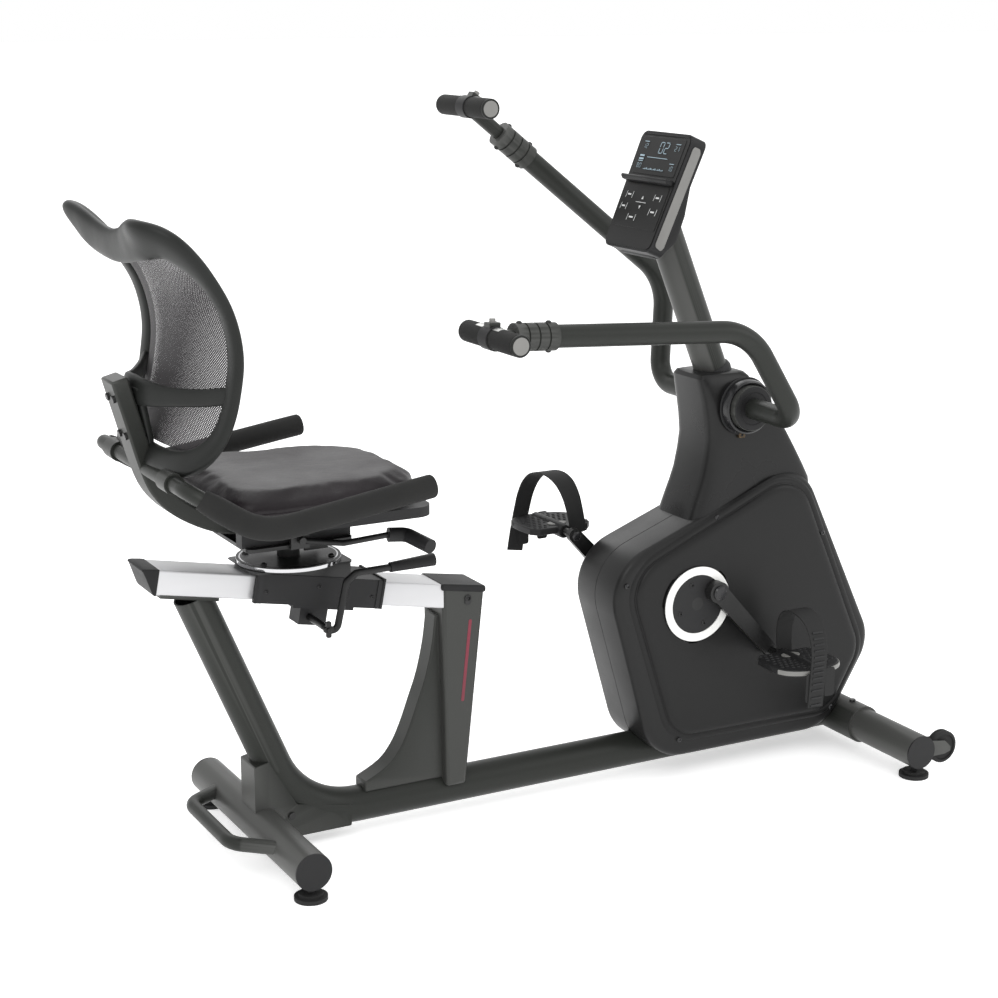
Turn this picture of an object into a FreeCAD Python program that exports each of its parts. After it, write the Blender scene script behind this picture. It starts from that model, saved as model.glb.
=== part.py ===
import FreeCAD, Part
import math
import os

# Recumbent exercise bike with two swinging arms, in millimetres.
# +X is forward (the rider faces the console), +Y the rider's left, +Z up; the floor is Z = 0.
# RIGHT and LEFT are the signs of Y. Lists of pairs are side profiles, given as (X, Z).

RIGHT = -1
LEFT = 1

# Clearances
RUN = 0.05
SLIDE = 0.5
PANEL_GAP = 0.5
BELT_GAP = 0.3

# Stabilisers, their feet and the carry handle
BEAM_R = 31.5
BEAM_WALL = 2.5
BEAM_Z = 51.5
REAR_HALF = 240.0
FRONT_HALF = 289.0
FRONT_X = 1197.0
CAP_FLANGE = 3.0
CAP_PLUG = 5.0
REAR_FOOT_Y = 224.0
FRONT_FOOT_Y = 270.0
FOOT_R = 27.5
FOOT_T = 7.0
FOOT_STEP_R = 20.0
FOOT_STEP_T = 5.0
STUD_R = 6.0
STUD_REACH = 8.0
SLEEVE_R = 36.0
SLEEVE_HALF = 118.0
CARRY_R = 12.0
CARRY_BEND = 40.0
CARRY_POINTS = [(-22, 140, 60), (-85, 95, 64)]

# Main tube, rear upright and gusset
MAIN_R = 31.5
MAIN_WALL = 2.5
MAIN_Z = 47.5
BEND_X = 71.8
BEND_R = 165.0
REAR_TOP = (-103.0, 465.0)
GUSSET_HALF = 31.0
GUSSET_WALL = 3.0
GUSSET = [(-16, 160), (-16, 70), (-24, 40), (-10, 22), (160, 22), (160, 60), (60, 80), (10, 165)]

# Seat rail: the rear top edge, the slope, and the rectangular section
RAIL_REAR = (-168.0, 525.0)
RAIL_SLOPE = 10.65
RAIL_LENGTH = 530.0
RAIL_HALF = 38.0
RAIL_H = 41.0
RAIL_WALL = 3.0
RAIL_CAP_T = 26.0
RAIL_CAP_LOW = 4.0
MOUNT_FROM = 8.0
MOUNT_TO = 108.0
MOUNT_T = 5.0

# Front upright with its web and cap
COLUMN_HALF = 38.0
COLUMN_WALL = 3.0
COLUMN = [(335, 428), (415, 416), (377, 60), (341, 60), (335, 391)]
COLUMN_CORE = [(338.5, 440), (411.5, 424), (373.5, 60), (344.5, 60), (338.5, 391)]
WEB_HALF = 20.0
WEB = [(337, 375), (329, 373), (293, 218), (259, 140), (191, 92), (191, 60), (343, 60)]
UPRIGHT_CAP_T = 10.0

# Seat carriage, in the rail's own frame: along the rail, and height over its top face
CARRIAGE_FROM = 167.0
CARRIAGE_TO = 393.0
CARRIAGE_HALF = 48.0
CARRIAGE_TOP = 5.5
CARRIAGE_DROP = 3.0
LIP_L = 9.0
LIP_OUT = 1.6
BRIDGE_FROM = 235.0
BRIDGE_TO = 345.0
BRIDGE_T = 5.0
BLOCK_FROM = 262.0
BLOCK_TO = 312.0
BLOCK_HALF = 20.0
BLOCK_DROP = 35.0

# Lock lever under the carriage
LOCK_R = 6.0
LOCK_PIVOT = (95.0, 404.0)
LOCK_Y = 90.0
LOCK_BEND = 11.0
LOCK_PATH = [(112, 391), (132, 478), (150, 491), (211, 492)]
LOCK_GRIP_END = (292.0, 495.0)
LOCK_GRIP_R = (8.5, 11.0)

# Swivel
SWIVEL_X = 68.0
BASE_TOP = 503.0
BASE_HALF = 60.0
BASE_FROM = -20.0
BASE_TO = 160.0
BASE_PLATE_T = 3.0
BASE_WEDGE_HALF = 46.0
RING_R = 87.0
RING_T = 8.0
POST_R = 19.0
POST_DEPTH = 3.0
FRAME_Z = 545.0
FRAME_T = 6.0
FRAME_FROM = -35.0
FRAME_TO = 150.0
FRAME_HALF = 84.0
PAN_Z = 590.0
PAN_T = 17.0
PAN_FROM = -40.0
PAN_TO = 262.0
PAN_HALF = 160.0
SPACER_IN = 45.0
SPACER_OUT = 70.0
CHANNEL_FROM = 88.0
CHANNEL_TO = 130.0
CHANNEL_Z = 520.0
CHANNEL_HALF = 22.0
CHANNEL_WALL = 4.0
RELEASE_PIVOT = (52.0, 560.0)
RELEASE_R = 5.0
RELEASE_PIN_R = 6.0
RELEASE_Y = 98.0
LUG_T = 8.0
LUG_X = 16.0
LUG_TOP = 574.0
RELEASE_PATH = [(52, 98, 560), (119, 110, 550), (196, 117, 556)]
RELEASE_BEND = 30.0
RELEASE_GRIP = [(196, 117, 556), (226, 122, 554), (242, 180, 545)]
RELEASE_GRIP_R = 12.0

# Cushion, back bracket and backrest
CUSHION_TOP = 659.0
CUSHION_SIDE = 625.0
CUSHION_PLAN = [(-100, 140), (-78, 176), (-30, 183), (60, 183), (160, 172), (235, 145), (272, 95), (283, 0)]
CUSHION_ROUND = 14.0
BRACKET_HALF = 28.0
BRACKET_OUTER = [(-229, 831), (-189, 688), (-171, 646), (-137, 609), (-85, 578), (-37, 564), (110, 562)]
BRACKET_INNER = [(110, 589), (-33, 589), (-73, 602), (-118, 630), (-147, 662), (-163, 696), (-202, 838)]
BACK_HALF = 215.0
BACK_T = 24.0
BACK_LOW = 706.0
BACK_HIGH = 1101.0
BACK_FRONT = [
    (-140, 706), (-116, 726), (-88, 780), (-74, 835), (-68, 877), (-71, 914),
    (-87, 960), (-118, 1011), (-156, 1057), (-194, 1091), (-224, 1100), (-269, 1087),
]
BACK_RIM = 40.0
BACK_CORNER = 60.0
BACK_BAR = (785.0, 840.0)
BACK_OPENING_LOW = 738.0
BACK_OPENING_HIGH = 1046.0
MESH_T = 3.0
MESH_SET = 7.0
HOUSING_HALF = 45.0
HOUSING_Z = (736.0, 832.0)

# Armrests
ARMREST_R = 12.5
ARMREST_WALL = 2.0
ARMREST_CROSS = (-176.0, 690.0)
ARMREST_PATH = [(-176, 215, 690), (-75, 265, 627), (205, 265, 669)]
ARMREST_BEND = 45.0
ARMREST_FOAM_R = 19.0
ARMREST_FOAM_SET = 50.0
ARMREST_COLLAR_R = 17.0
ARMREST_COLLAR = (110.0, 150.0)

# Casing
CASING_HALF = 72.0
CASING_WALL = 3.5
CASING_ROUND = 8.0
PANEL_HALF = 81.0
CASING = [
    (1092, 527), (1120, 477), (1230, 237), (1234, 205), (1207, 117), (1179, 79), (1141, 41), (997, 44),
    (836, 44), (794, 57), (745, 99), (721, 146), (668, 326), (669, 394), (693, 432), (750, 463), (978, 546),
    (1014, 557), (1071, 539),
]
PANEL = [
    (1046, 521), (1004, 531), (964, 522), (753, 430), (711, 391), (706, 337), (773, 132), (815, 92),
    (920, 83), (1142, 80), (1196, 150), (1203, 215), (1196, 240), (1093, 470),
]

# Crank, pedals and drive
CRANK = (830.0, 337.0)
CRANK_ANGLE = -46.9
CRANK_LENGTH = 175.0
CRANK_OFFSET = (35.0, 21.0)
AXLE_R = 12.0
DISC_R = 70.0
DISC_Y = (78.5, 84.0)
DISC_RING_IN = 55.0
DISC_RING_T = 1.5
RECESS_R = 75.0
RECESS_Y = 77.0
RECESS_RIM = 3.0
BOSS_R = 20.0
ARM_Y = (92.0, 104.0)
ARM_HALF_W = (17.0, 13.0)
SPINDLE_R = 7.0
SPINDLE_NUT_R = 10.0
SPINDLE_TO = 246.0
SPINDLE_NUT_T = 3.0
PEDAL_Y = (135.0, 250.0)
PEDAL_HALF_X = 67.0
PEDAL_TOP = 9.0
PEDAL_BOTTOM = -5.0
PEDAL_CORNER = 26.0
PEDAL_HOUSING_R = 12.0
PEDAL_TAB = 14.0
PEDAL_SLOT = 5.0
STRAP_W = 33.0
STRAP_T = 2.5
STRAP_GAP = 0.3
STRAP_RISE = 90.0
STRAP_HANG = 60.0
PULLEY_R = 120.0
PULLEY_Y = (43.0, 55.0)
WHEEL_RATIO = 8.0
BELT_T = 3.0
FLYWHEEL = (1060.0, 240.0)
FLYWHEEL_R = 120.0
FLYWHEEL_Y = (36.0, 64.0)
FLYWHEEL_SHAFT_R = 8.0
SHELL_R = 30.0
SHELL_HALF = 34.0
BEARING_R = 24.0
BEARING_T = 10.0

# Mast, neck shroud and arm hub
MAST_R = 30.0
MAST_WALL = 2.5
MAST_AT = (906.0, 745.0)
MAST_LEAN = (-0.383, 0.924)
MAST_JOIN_Z = 600.0
MAST_TOP_Z = 1050.0
POST_FOOT_Z = 70.0
HUB = (935.0, 690.0)
HUB_AXLE_R = 15.0
HUB_AXLE_HALF = 86.0
HUB_RIM_R = 50.0
HUB_RIM_IN = 43.0
HUB_RIM_Y = 78.0
HUB_CUP_R = 41.0
HUB_CUP_Y = (66.0, 92.0)
SHROUD_HALF = 62.0
SHROUD_FLAT = 30.0
SHROUD_WALL = 3.0
SHROUD_WIDE = [(875, 747), (897, 631), (867, 534), (862, 480), (1102, 510), (1102, 523), (1066, 596), (1032, 648), (944, 762)]
SHROUD_NARROW = [
    (849, 745), (869, 631), (839, 534), (834, 480), (1102, 510), (1102, 523), (1066, 596), (1032, 648), (944, 764),
]

# Swinging arms: the left one stands turned up from the right one, and its handle is drawn out
TUBE_R = 19.0
TUBE_WALL = 2.0
TUBE_Y = 220.0
TUBE_HUB_BEND = 45.0
TUBE_KNEE_BEND = 110.0
TUBE_KNEE = (829.0, 857.0)
TUBE_RISE = 3.2
COLLAR_R = 23.0
COLLAR_X = (371.0, 447.0)
COLLAR_GROOVE = 1.5
STEM_R = 12.5
STEM_IN_X = 640.0
BAR_X = 334.0
BAR_Y = (135.0, 315.0)
BAR_CORE_R = 12.0
GRIP_R = 18.0
BAR_DISC_T = 5.0
SADDLE_HALF = 14.0
SADDLE_R = 19.0
BUTTON_R = 5.0
BUTTON_H = 4.0
BUTTON_SINK = 3.0
POD_HALF = (10.0, 9.0)
POD_TOP = 25.0
LEFT_ARM_TURN = 35.0
LEFT_HANDLE_OUT = 40.0

# Console, in the frame of its face: in from the face, and height up it
CONSOLE_LOW = (730.0, 1012.0)
CONSOLE_LEAN = 23.36
CONSOLE_HALF = 81.0
CONSOLE_WALL = 3.0
CONSOLE = [(0, 0), (0, 172), (10, 180), (34, 180), (42, 165), (62, 40), (62, 5), (38, -32), (8, -38), (-6, -24)]
LENS = (63.5, 104.0, 168.0)
KEYPAD = (66.0, 6.0, 82.0)
PLATE_T = 2.0
LEDGE_R = 5.0
LEDGE_UP = 92.0
LEDGE_HALF = 70.0

# Transport wheels
WHEEL_AT = (1264.0, 45.0)
WHEEL_Y = 264.0
WHEEL_R = 31.0
WHEEL_HALF = 9.0
WHEEL_GAP = 2.0
WHEEL_AXLE_R = 4.0
CHEEK_T = 3.0
CHEEK = [(1205, 68), (1262, 60), (1276, 46), (1276, 38), (1262, 34), (1205, 34)]

BOLT_R = 6.0
BOLT_H = 4.0


def vec(x, y, z):
    return FreeCAD.Vector(x, y, z)


def rod(start, end, radius):
    along = end.sub(start)
    return Part.makeCylinder(radius, along.Length, start, along)


def cross_rod(at, y0, y1, radius):
    """A cylinder along Y at the side-view point at."""
    return rod(vec(at[0], min(y0, y1), at[1]), vec(at[0], max(y0, y1), at[1]), radius)


def block(x0, x1, y0, y1, z0, z1):
    low = vec(min(x0, x1), min(y0, y1), min(z0, z1))
    return Part.makeBox(abs(x1 - x0), abs(y1 - y0), abs(z1 - z0), low)


def fuse(shapes):
    if len(shapes) == 1:
        return shapes[0]
    return shapes[0].multiFuse(shapes[1:]).removeSplitter()


def cut(body, tools):
    for tool in tools:
        body = body.cut(tool)
    return body


def mirrored(shape):
    return shape.mirror(vec(0, 0, 0), vec(0, 1, 0))


def both(shape):
    return Part.makeCompound([shape, mirrored(shape)])


def path_edges(points, bend, closed=False):
    """Straight edges through points, each corner rounded with an arc of radius bend."""
    count = len(points)
    inner = range(count) if closed else range(1, count - 1)
    arcs = {}
    for index in inner:
        here = points[index]
        into = points[index - 1].sub(here).normalize()
        out = points[(index + 1) % count].sub(here).normalize()
        half = into.getAngle(out) / 2.0
        if bend <= 0 or half > math.radians(89.5):
            arcs[index] = (here, None, here)
            continue
        reach = bend / math.tan(half)
        inward = into.add(out).normalize()
        middle = here.add(inward.multiply(bend / math.sin(half) - bend))
        arcs[index] = (here.add(into.multiply(reach)), middle, here.add(out.multiply(reach)))
    edges = []
    last = arcs[0][2] if closed else points[0]
    order = list(range(1, count)) + [0] if closed else list(range(1, count))
    for index in order:
        first, middle, after = arcs.get(index, (points[index], None, points[index]))
        if last.distanceToPoint(first) > 1e-6:
            edges.append(Part.makeLine(last, first))
        if middle is not None:
            edges.append(Part.Arc(first, middle, after).toShape())
        last = after
    return edges


def pipe(points, bend, radius):
    """A round bar along points."""
    edges = path_edges(points, bend)
    start = points[0]
    along = points[1].sub(start)
    profile = Part.Wire(Part.makeCircle(radius, start, along))
    return Part.Wire(edges).makePipeShell([profile], True, False)


def tube(points, bend, radius, wall):
    return pipe(points, bend, radius).cut(pipe(points, bend, radius - wall))


def side_face(profile, y, bend=0.0):
    return Part.Face(Part.Wire(path_edges([vec(x, y, z) for x, z in profile], bend, True)))


def slab(profile, y0, y1, bend=0.0):
    """The side profile extruded from y0 to y1."""
    return side_face(profile, y0, bend).extrude(vec(0, y1 - y0, 0))


def inset_slab(profile, inset, y0, y1, bend=0.0):
    face = side_face(profile, y0, bend).makeOffset2D(-inset)
    return face.extrude(vec(0, y1 - y0, 0))


def rounded_block(x0, x1, y0, y1, z0, z1, radius):
    """A block with its four upright edges rounded."""
    corners = [vec(x0, y0, z0), vec(x1, y0, z0), vec(x1, y1, z0), vec(x0, y1, z0)]
    return Part.Face(Part.Wire(path_edges(corners, radius, True))).extrude(vec(0, 0, z1 - z0))


def side_point(at, y=0.0):
    return vec(at[0], y, at[1])


def placed(shape, at, lean):
    """shape, drawn with X along a slope, leant down by lean degrees and moved to the side-view point at."""
    shape = shape.copy()
    shape.rotate(vec(0, 0, 0), vec(0, 1, 0), lean)
    shape.translate(side_point(at))
    return shape


def on_rail(shape):
    return placed(shape, RAIL_REAR, RAIL_SLOPE)


def on_console(shape):
    return placed(shape, CONSOLE_LOW, CONSOLE_LEAN)


def bolt_head(x, y, z, axis):
    start = vec(x, y, z)
    return Part.makeCylinder(BOLT_R, BOLT_H, start, axis)


def main_axis():
    return [vec(FRONT_X, 0, MAIN_Z), vec(BEND_X, 0, MAIN_Z), side_point(REAR_TOP)]


def front_beam_solid():
    return rod(vec(FRONT_X, -FRONT_HALF, BEAM_Z), vec(FRONT_X, FRONT_HALF, BEAM_Z), BEAM_R)


def rear_beam_solid():
    return rod(vec(0, -REAR_HALF, BEAM_Z), vec(0, REAR_HALF, BEAM_Z), BEAM_R)


def main_tube_solid():
    return pipe(main_axis(), BEND_R, MAIN_R)


def rail_solid():
    return on_rail(block(0, RAIL_LENGTH, -RAIL_HALF, RAIL_HALF, -RAIL_H, 0))


def make_mount_plate():
    plate = block(MOUNT_FROM, MOUNT_TO, -RAIL_HALF, RAIL_HALF, -RAIL_H - MOUNT_T, -RAIL_H)
    return on_rail(plate)


def make_main_frame():
    """The bent main tube, its gusset, the rail's mount plate and the front socket sleeve."""
    below_rail = on_rail(block(-RAIL_LENGTH, RAIL_LENGTH, -RAIL_HALF * 2, RAIL_HALF * 2, -RAIL_H, RAIL_LENGTH))
    gusset = slab(GUSSET, -GUSSET_HALF, GUSSET_HALF, GUSSET_WALL)
    gusset_core = inset_slab(GUSSET, GUSSET_WALL, GUSSET_WALL - GUSSET_HALF, GUSSET_HALF - GUSSET_WALL)
    sleeve = rod(vec(FRONT_X, -SLEEVE_HALF, BEAM_Z), vec(FRONT_X, SLEEVE_HALF, BEAM_Z), SLEEVE_R)
    body = fuse([main_tube_solid(), gusset.cut(gusset_core), sleeve])
    core = pipe(main_axis(), BEND_R, MAIN_R - MAIN_WALL)
    body = cut(body, [core, rear_beam_solid(), front_beam_solid(), below_rail])
    return fuse([body, make_mount_plate()])


def make_beam(x, half, foot_y):
    axis_from = vec(x, CAP_FLANGE - half, BEAM_Z)
    axis_to = vec(x, half - CAP_FLANGE, BEAM_Z)
    beam = rod(axis_from, axis_to, BEAM_R).cut(rod(axis_from, axis_to, BEAM_R - BEAM_WALL))
    return cut(beam, [foot_stud(x, foot_y), foot_stud(x, -foot_y)])


def foot_stud(x, y):
    return rod(vec(x, y, FOOT_T), vec(x, y, BEAM_Z - BEAM_R + STUD_REACH), STUD_R)


def make_foot(x, y):
    pad = Part.makeCylinder(FOOT_R, FOOT_T, vec(x, y, 0))
    step = Part.makeCylinder(FOOT_STEP_R, FOOT_STEP_T, vec(x, y, FOOT_T))
    return fuse([pad, step, foot_stud(x, y)])


def make_feet():
    feet = []
    for x, y in [(0, REAR_FOOT_Y), (FRONT_X, FRONT_FOOT_Y)]:
        feet.append(both(make_foot(x, y)))
    return Part.makeCompound(feet)


def make_beam_cap(x, half):
    flange = rod(vec(x, half - CAP_FLANGE, BEAM_Z), vec(x, half, BEAM_Z), BEAM_R)
    plug_from = vec(x, half - CAP_FLANGE - CAP_PLUG, BEAM_Z)
    plug = rod(plug_from, vec(x, half, BEAM_Z), BEAM_R - BEAM_WALL)
    return both(fuse([flange, plug]))


def make_stabiliser_caps():
    return Part.makeCompound([make_beam_cap(0, REAR_HALF), make_beam_cap(FRONT_X, FRONT_HALF)])


def make_carry_handle():
    near, out = [vec(*point) for point in CARRY_POINTS]
    points = [near, out, vec(out.x, -out.y, out.z), vec(near.x, -near.y, near.z)]
    return pipe(points, CARRY_BEND, CARRY_R).cut(rear_beam_solid())


def make_seat_rail():
    core = block(0, RAIL_LENGTH, RAIL_WALL - RAIL_HALF, RAIL_HALF - RAIL_WALL, RAIL_WALL - RAIL_H, -RAIL_WALL)
    return rail_solid().cut(on_rail(core))


def make_rail_cap():
    """A wedge-shaped plug that closes the rail's rear end."""
    wedge = [(0, 0), (0, -RAIL_H), (-RAIL_CAP_LOW, -RAIL_H), (-RAIL_CAP_T, 0)]
    outer = slab(wedge, -RAIL_HALF, RAIL_HALF)
    plug = block(0, RAIL_CAP_T, RAIL_WALL - RAIL_HALF, RAIL_HALF - RAIL_WALL, RAIL_WALL - RAIL_H, -RAIL_WALL)
    return on_rail(fuse([outer, plug]))


def make_front_upright():
    column = slab(COLUMN, -COLUMN_HALF, COLUMN_HALF)
    web = slab(WEB, -WEB_HALF, WEB_HALF)
    core = slab(COLUMN_CORE, COLUMN_WALL - COLUMN_HALF, COLUMN_HALF - COLUMN_WALL)
    web_core = inset_slab(WEB, COLUMN_WALL, COLUMN_WALL - WEB_HALF, WEB_HALF - COLUMN_WALL)
    body = cut(fuse([column, web]), [core, web_core, main_tube_solid(), rail_solid()])
    return body


def make_upright_cap():
    """A plastic cap over the column's open top, just ahead of the rail."""
    (x0, z0), (x1, z1) = COLUMN[0], COLUMN[1]
    top = [(x0, z0), (x1, z1), (x1 + 3, z1 + 1), (x1 + 1, z1 + UPRIGHT_CAP_T), (x0 - 1, z0 + UPRIGHT_CAP_T)]
    return slab(top, -COLUMN_HALF, COLUMN_HALF).cut(rail_solid())


def make_frame_bolts():
    heads = []
    down = vec(0, 0, -1)
    for side in (RIGHT, LEFT):
        out = vec(0, side, 0)
        heads.append(bolt_head(49, side * GUSSET_HALF, 62, out))
        heads.append(bolt_head(382, side * COLUMN_HALF, 395, out))
        heads.append(bolt_head(FRONT_X, side * SLEEVE_HALF * 0.7, BEAM_Z + SLEEVE_R, vec(0, 0, 1)))
    rear_plate_z = -RAIL_H - MOUNT_T
    heads.append(on_rail(Part.makeCylinder(BOLT_R, BOLT_H, vec(MOUNT_FROM + 12, 0, rear_plate_z), down)))
    return Part.makeCompound(heads)


def make_carriage():
    """A box that runs on the rail, open below but for the bridge that holds the lock block."""
    low = -RAIL_H - CARRIAGE_DROP
    outer = block(CARRIAGE_FROM, CARRIAGE_TO, -CARRIAGE_HALF, CARRIAGE_HALF, low, CARRIAGE_TOP)
    lips = []
    for start in (CARRIAGE_FROM, CARRIAGE_TO - LIP_L):
        half = CARRIAGE_HALF + LIP_OUT
        lips.append(block(start, start + LIP_L, -half, half, low, CARRIAGE_TOP - 1))
    gap = RAIL_HALF + SLIDE
    inside = block(0, RAIL_LENGTH, -gap, gap, low, SLIDE)
    bridge_low = low - BRIDGE_T
    bridge = block(BRIDGE_FROM, BRIDGE_TO, -CARRIAGE_HALF, CARRIAGE_HALF, bridge_low, low)
    lock = block(BLOCK_FROM, BLOCK_TO, -BLOCK_HALF, BLOCK_HALF, bridge_low - BLOCK_DROP, bridge_low)
    body = on_rail(fuse([fuse([outer] + lips).cut(inside), bridge, lock]))
    bore = cross_rod(LOCK_PIVOT, -2 * BLOCK_HALF, 2 * BLOCK_HALF, LOCK_R + RUN)
    return body.cut(bore)


def make_lock_lever():
    start = side_point(LOCK_PIVOT, BLOCK_HALF)
    points = [start, side_point(LOCK_PIVOT, -LOCK_Y)] + [side_point(at, -LOCK_Y) for at in LOCK_PATH]
    return pipe(points, LOCK_BEND, LOCK_R)


def make_lock_grip():
    start = side_point(LOCK_PATH[-1], -LOCK_Y)
    along = side_point(LOCK_GRIP_END, -LOCK_Y).sub(start)
    grip = Part.makeCone(LOCK_GRIP_R[0], LOCK_GRIP_R[1], along.Length, start, along)
    return grip.cut(make_lock_lever())


def post_solid(radius, low):
    return Part.makeCylinder(radius, FRAME_Z - low, vec(SWIVEL_X, 0, low))


def make_swivel_base():
    """A wedge that levels the slope of the carriage, under a wider flat plate."""
    drop = (BASE_TO - BASE_FROM) * math.tan(math.radians(RAIL_SLOPE)) + BASE_PLATE_T
    low = BASE_TOP - BASE_PLATE_T
    wedge = block(BASE_FROM, BASE_TO, -BASE_WEDGE_HALF, BASE_WEDGE_HALF, low - drop, low)
    plate = rounded_block(BASE_FROM, BASE_TO, -BASE_HALF, BASE_HALF, low, BASE_TOP, 12)
    under = on_rail(block(0, RAIL_LENGTH, -2 * BASE_HALF, 2 * BASE_HALF, -4 * RAIL_H, CARRIAGE_TOP))
    bore = post_solid(POST_R + RUN, BASE_TOP - POST_DEPTH)
    return cut(fuse([wedge, plate]), [under, bore])


def make_index_ring():
    ring = Part.makeCylinder(RING_R, RING_T, vec(SWIVEL_X, 0, BASE_TOP))
    return ring.cut(post_solid(POST_R + RUN, BASE_TOP))


def make_seat_post():
    """The swivel post, the flat plate on it, the channel bracket in front and the lug of the release lever."""
    post = post_solid(POST_R, BASE_TOP - POST_DEPTH)
    plate = rounded_block(FRAME_FROM, FRAME_TO, -FRAME_HALF, FRAME_HALF, FRAME_Z, FRAME_Z + FRAME_T, 12)
    channel = block(CHANNEL_FROM, CHANNEL_TO, -CHANNEL_HALF, CHANNEL_HALF, CHANNEL_Z, FRAME_Z)
    inner = CHANNEL_HALF - CHANNEL_WALL
    channel = channel.cut(block(CHANNEL_FROM, CHANNEL_TO, -inner, inner, CHANNEL_Z, FRAME_Z - CHANNEL_WALL))
    pivot_x, pivot_z = RELEASE_PIVOT
    lug_from = -FRAME_HALF - LUG_T
    lug = block(pivot_x - LUG_X, pivot_x + LUG_X, lug_from, -FRAME_HALF, FRAME_Z, LUG_TOP)
    bore = cross_rod(RELEASE_PIVOT, -RELEASE_Y * 2, -SPACER_OUT, RELEASE_PIN_R + RUN)
    shelf = block(pivot_x - LUG_X, pivot_x + LUG_X, lug_from, -FRAME_HALF + LUG_T, FRAME_Z, FRAME_Z + FRAME_T)
    return fuse([post, plate, channel, shelf, lug]).cut(bore)


def make_seat_pan():
    pan = rounded_block(PAN_FROM, PAN_TO, -PAN_HALF, PAN_HALF, PAN_Z, PAN_Z + PAN_T, 30)
    rails = []
    for y0, y1 in ((SPACER_IN, SPACER_OUT), (-SPACER_OUT, -SPACER_IN)):
        rails.append(block(PAN_FROM, FRAME_TO, y0, y1, FRAME_Z + FRAME_T, PAN_Z))
    return fuse([pan] + rails).cut(bracket_solid())


def plan_face(points, z, bend):
    ring = [vec(x, y, z) for x, y in points]
    ring += [vec(x, -y, z) for x, y in reversed(points) if y > 0]
    return Part.Face(Part.Wire(path_edges(ring, bend, True)))


def make_cushion():
    """A soft pad: full width at its side, tapering to the pan below."""
    low = PAN_Z + PAN_T
    side = plan_face(CUSHION_PLAN, CUSHION_SIDE, CUSHION_ROUND).extrude(vec(0, 0, CUSHION_TOP - CUSHION_SIDE))
    belly_points = [(x * 0.9 + 8, y * 0.86) for x, y in CUSHION_PLAN]
    belly = plan_face(belly_points, low, CUSHION_ROUND).extrude(vec(0, 0, CUSHION_SIDE - low))
    rear = slab([(-140, 632), (-100, 632), (-50, low - 1), (-140, low - 1)], -BACK_HALF, BACK_HALF)
    return fuse([side, belly]).cut(rear)


def bracket_solid():
    return slab(BRACKET_OUTER + BRACKET_INNER, -BRACKET_HALF, BRACKET_HALF)


def make_back_bracket():
    return bracket_solid().cut(armrest_bar())


def make_back_bolts():
    heads = []
    (x0, z0), (x1, z1) = BRACKET_OUTER[0], BRACKET_OUTER[1]
    out = vec(z1 - z0, 0, x0 - x1)
    if out.x > 0:
        out = vec(-out.x, 0, -out.z)
    for share in (0.2, 0.62):
        for side in (RIGHT, LEFT):
            at = vec(x0 + (x1 - x0) * share, side * BRACKET_HALF * 0.5, z0 + (z1 - z0) * share)
            heads.append(Part.makeCylinder(BOLT_R, BOLT_H, at, out))
    return Part.makeCompound(heads)


def back_band(front_set, thickness):
    """A curved sheet that follows the backrest's front, set back from it."""
    face_points = [vec(x, 0, z) for x, z in BACK_FRONT]
    curve = Part.BSplineCurve()
    curve.interpolate(face_points)
    steps = 36
    front = []
    rear = []
    for step in range(steps + 1):
        at = curve.FirstParameter + (curve.LastParameter - curve.FirstParameter) * step / steps
        point = curve.value(at)
        along = curve.tangent(at)[0]
        back = vec(-along.z, 0, along.x)
        front.append(point.add(back * front_set))
        rear.append(point.add(back * (front_set + thickness)))
    edges = []
    for line in (front, list(reversed(rear))):
        spline = Part.BSplineCurve()
        spline.interpolate(line)
        edges.append(spline.toShape())
    edges.insert(1, Part.makeLine(front[-1], rear[-1]))
    edges.append(Part.makeLine(rear[0], front[0]))
    face = Part.Face(Part.Wire(edges))
    face.translate(vec(0, -BACK_HALF, 0))
    return face.extrude(vec(0, 2 * BACK_HALF, 0))


def back_window(half, low, high, corner):
    corners = [vec(-500, -half, low), vec(-500, half, low), vec(-500, half, high), vec(-500, -half, high)]
    return Part.Face(Part.Wire(path_edges(corners, corner, True))).extrude(vec(600, 0, 0))


def back_openings():
    inner = BACK_HALF - BACK_RIM
    corner = BACK_CORNER - BACK_RIM + 10
    lower = back_window(inner, BACK_OPENING_LOW, BACK_BAR[0], corner * 0.7)
    upper = back_window(inner, BACK_BAR[1], BACK_OPENING_HIGH, corner)
    return [lower, upper]


def make_backrest_frame():
    outline = back_window(BACK_HALF, BACK_LOW - 10, BACK_HIGH + 30, BACK_CORNER)
    band = back_band(0, BACK_T).common(outline)
    housing = block(-230, -90, -HOUSING_HALF, HOUSING_HALF, HOUSING_Z[0], HOUSING_Z[1])
    reach = back_band(BACK_T / 2, 160).common(housing)
    band = cut(band, back_openings())
    return fuse([band, reach]).cut(bracket_behind())


def bracket_behind():
    """Everything behind the back bracket's front face, so that the housing seats on it."""
    profile = [(-400, 562)] + BRACKET_OUTER[-1:] + BRACKET_INNER + [(-400, 838)]
    return slab(profile, -BACK_HALF, BACK_HALF)


def make_backrest_mesh():
    sheet = back_band(MESH_SET, MESH_T)
    return Part.makeCompound([sheet.common(window) for window in back_openings()])


def armrest_points():
    side = [vec(*point) for point in ARMREST_PATH]
    return list(reversed(side)) + [vec(point.x, -point.y, point.z) for point in side]


def armrest_bar():
    return cross_rod(ARMREST_CROSS, -ARMREST_COLLAR[0], ARMREST_COLLAR[0], ARMREST_R)


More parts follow.
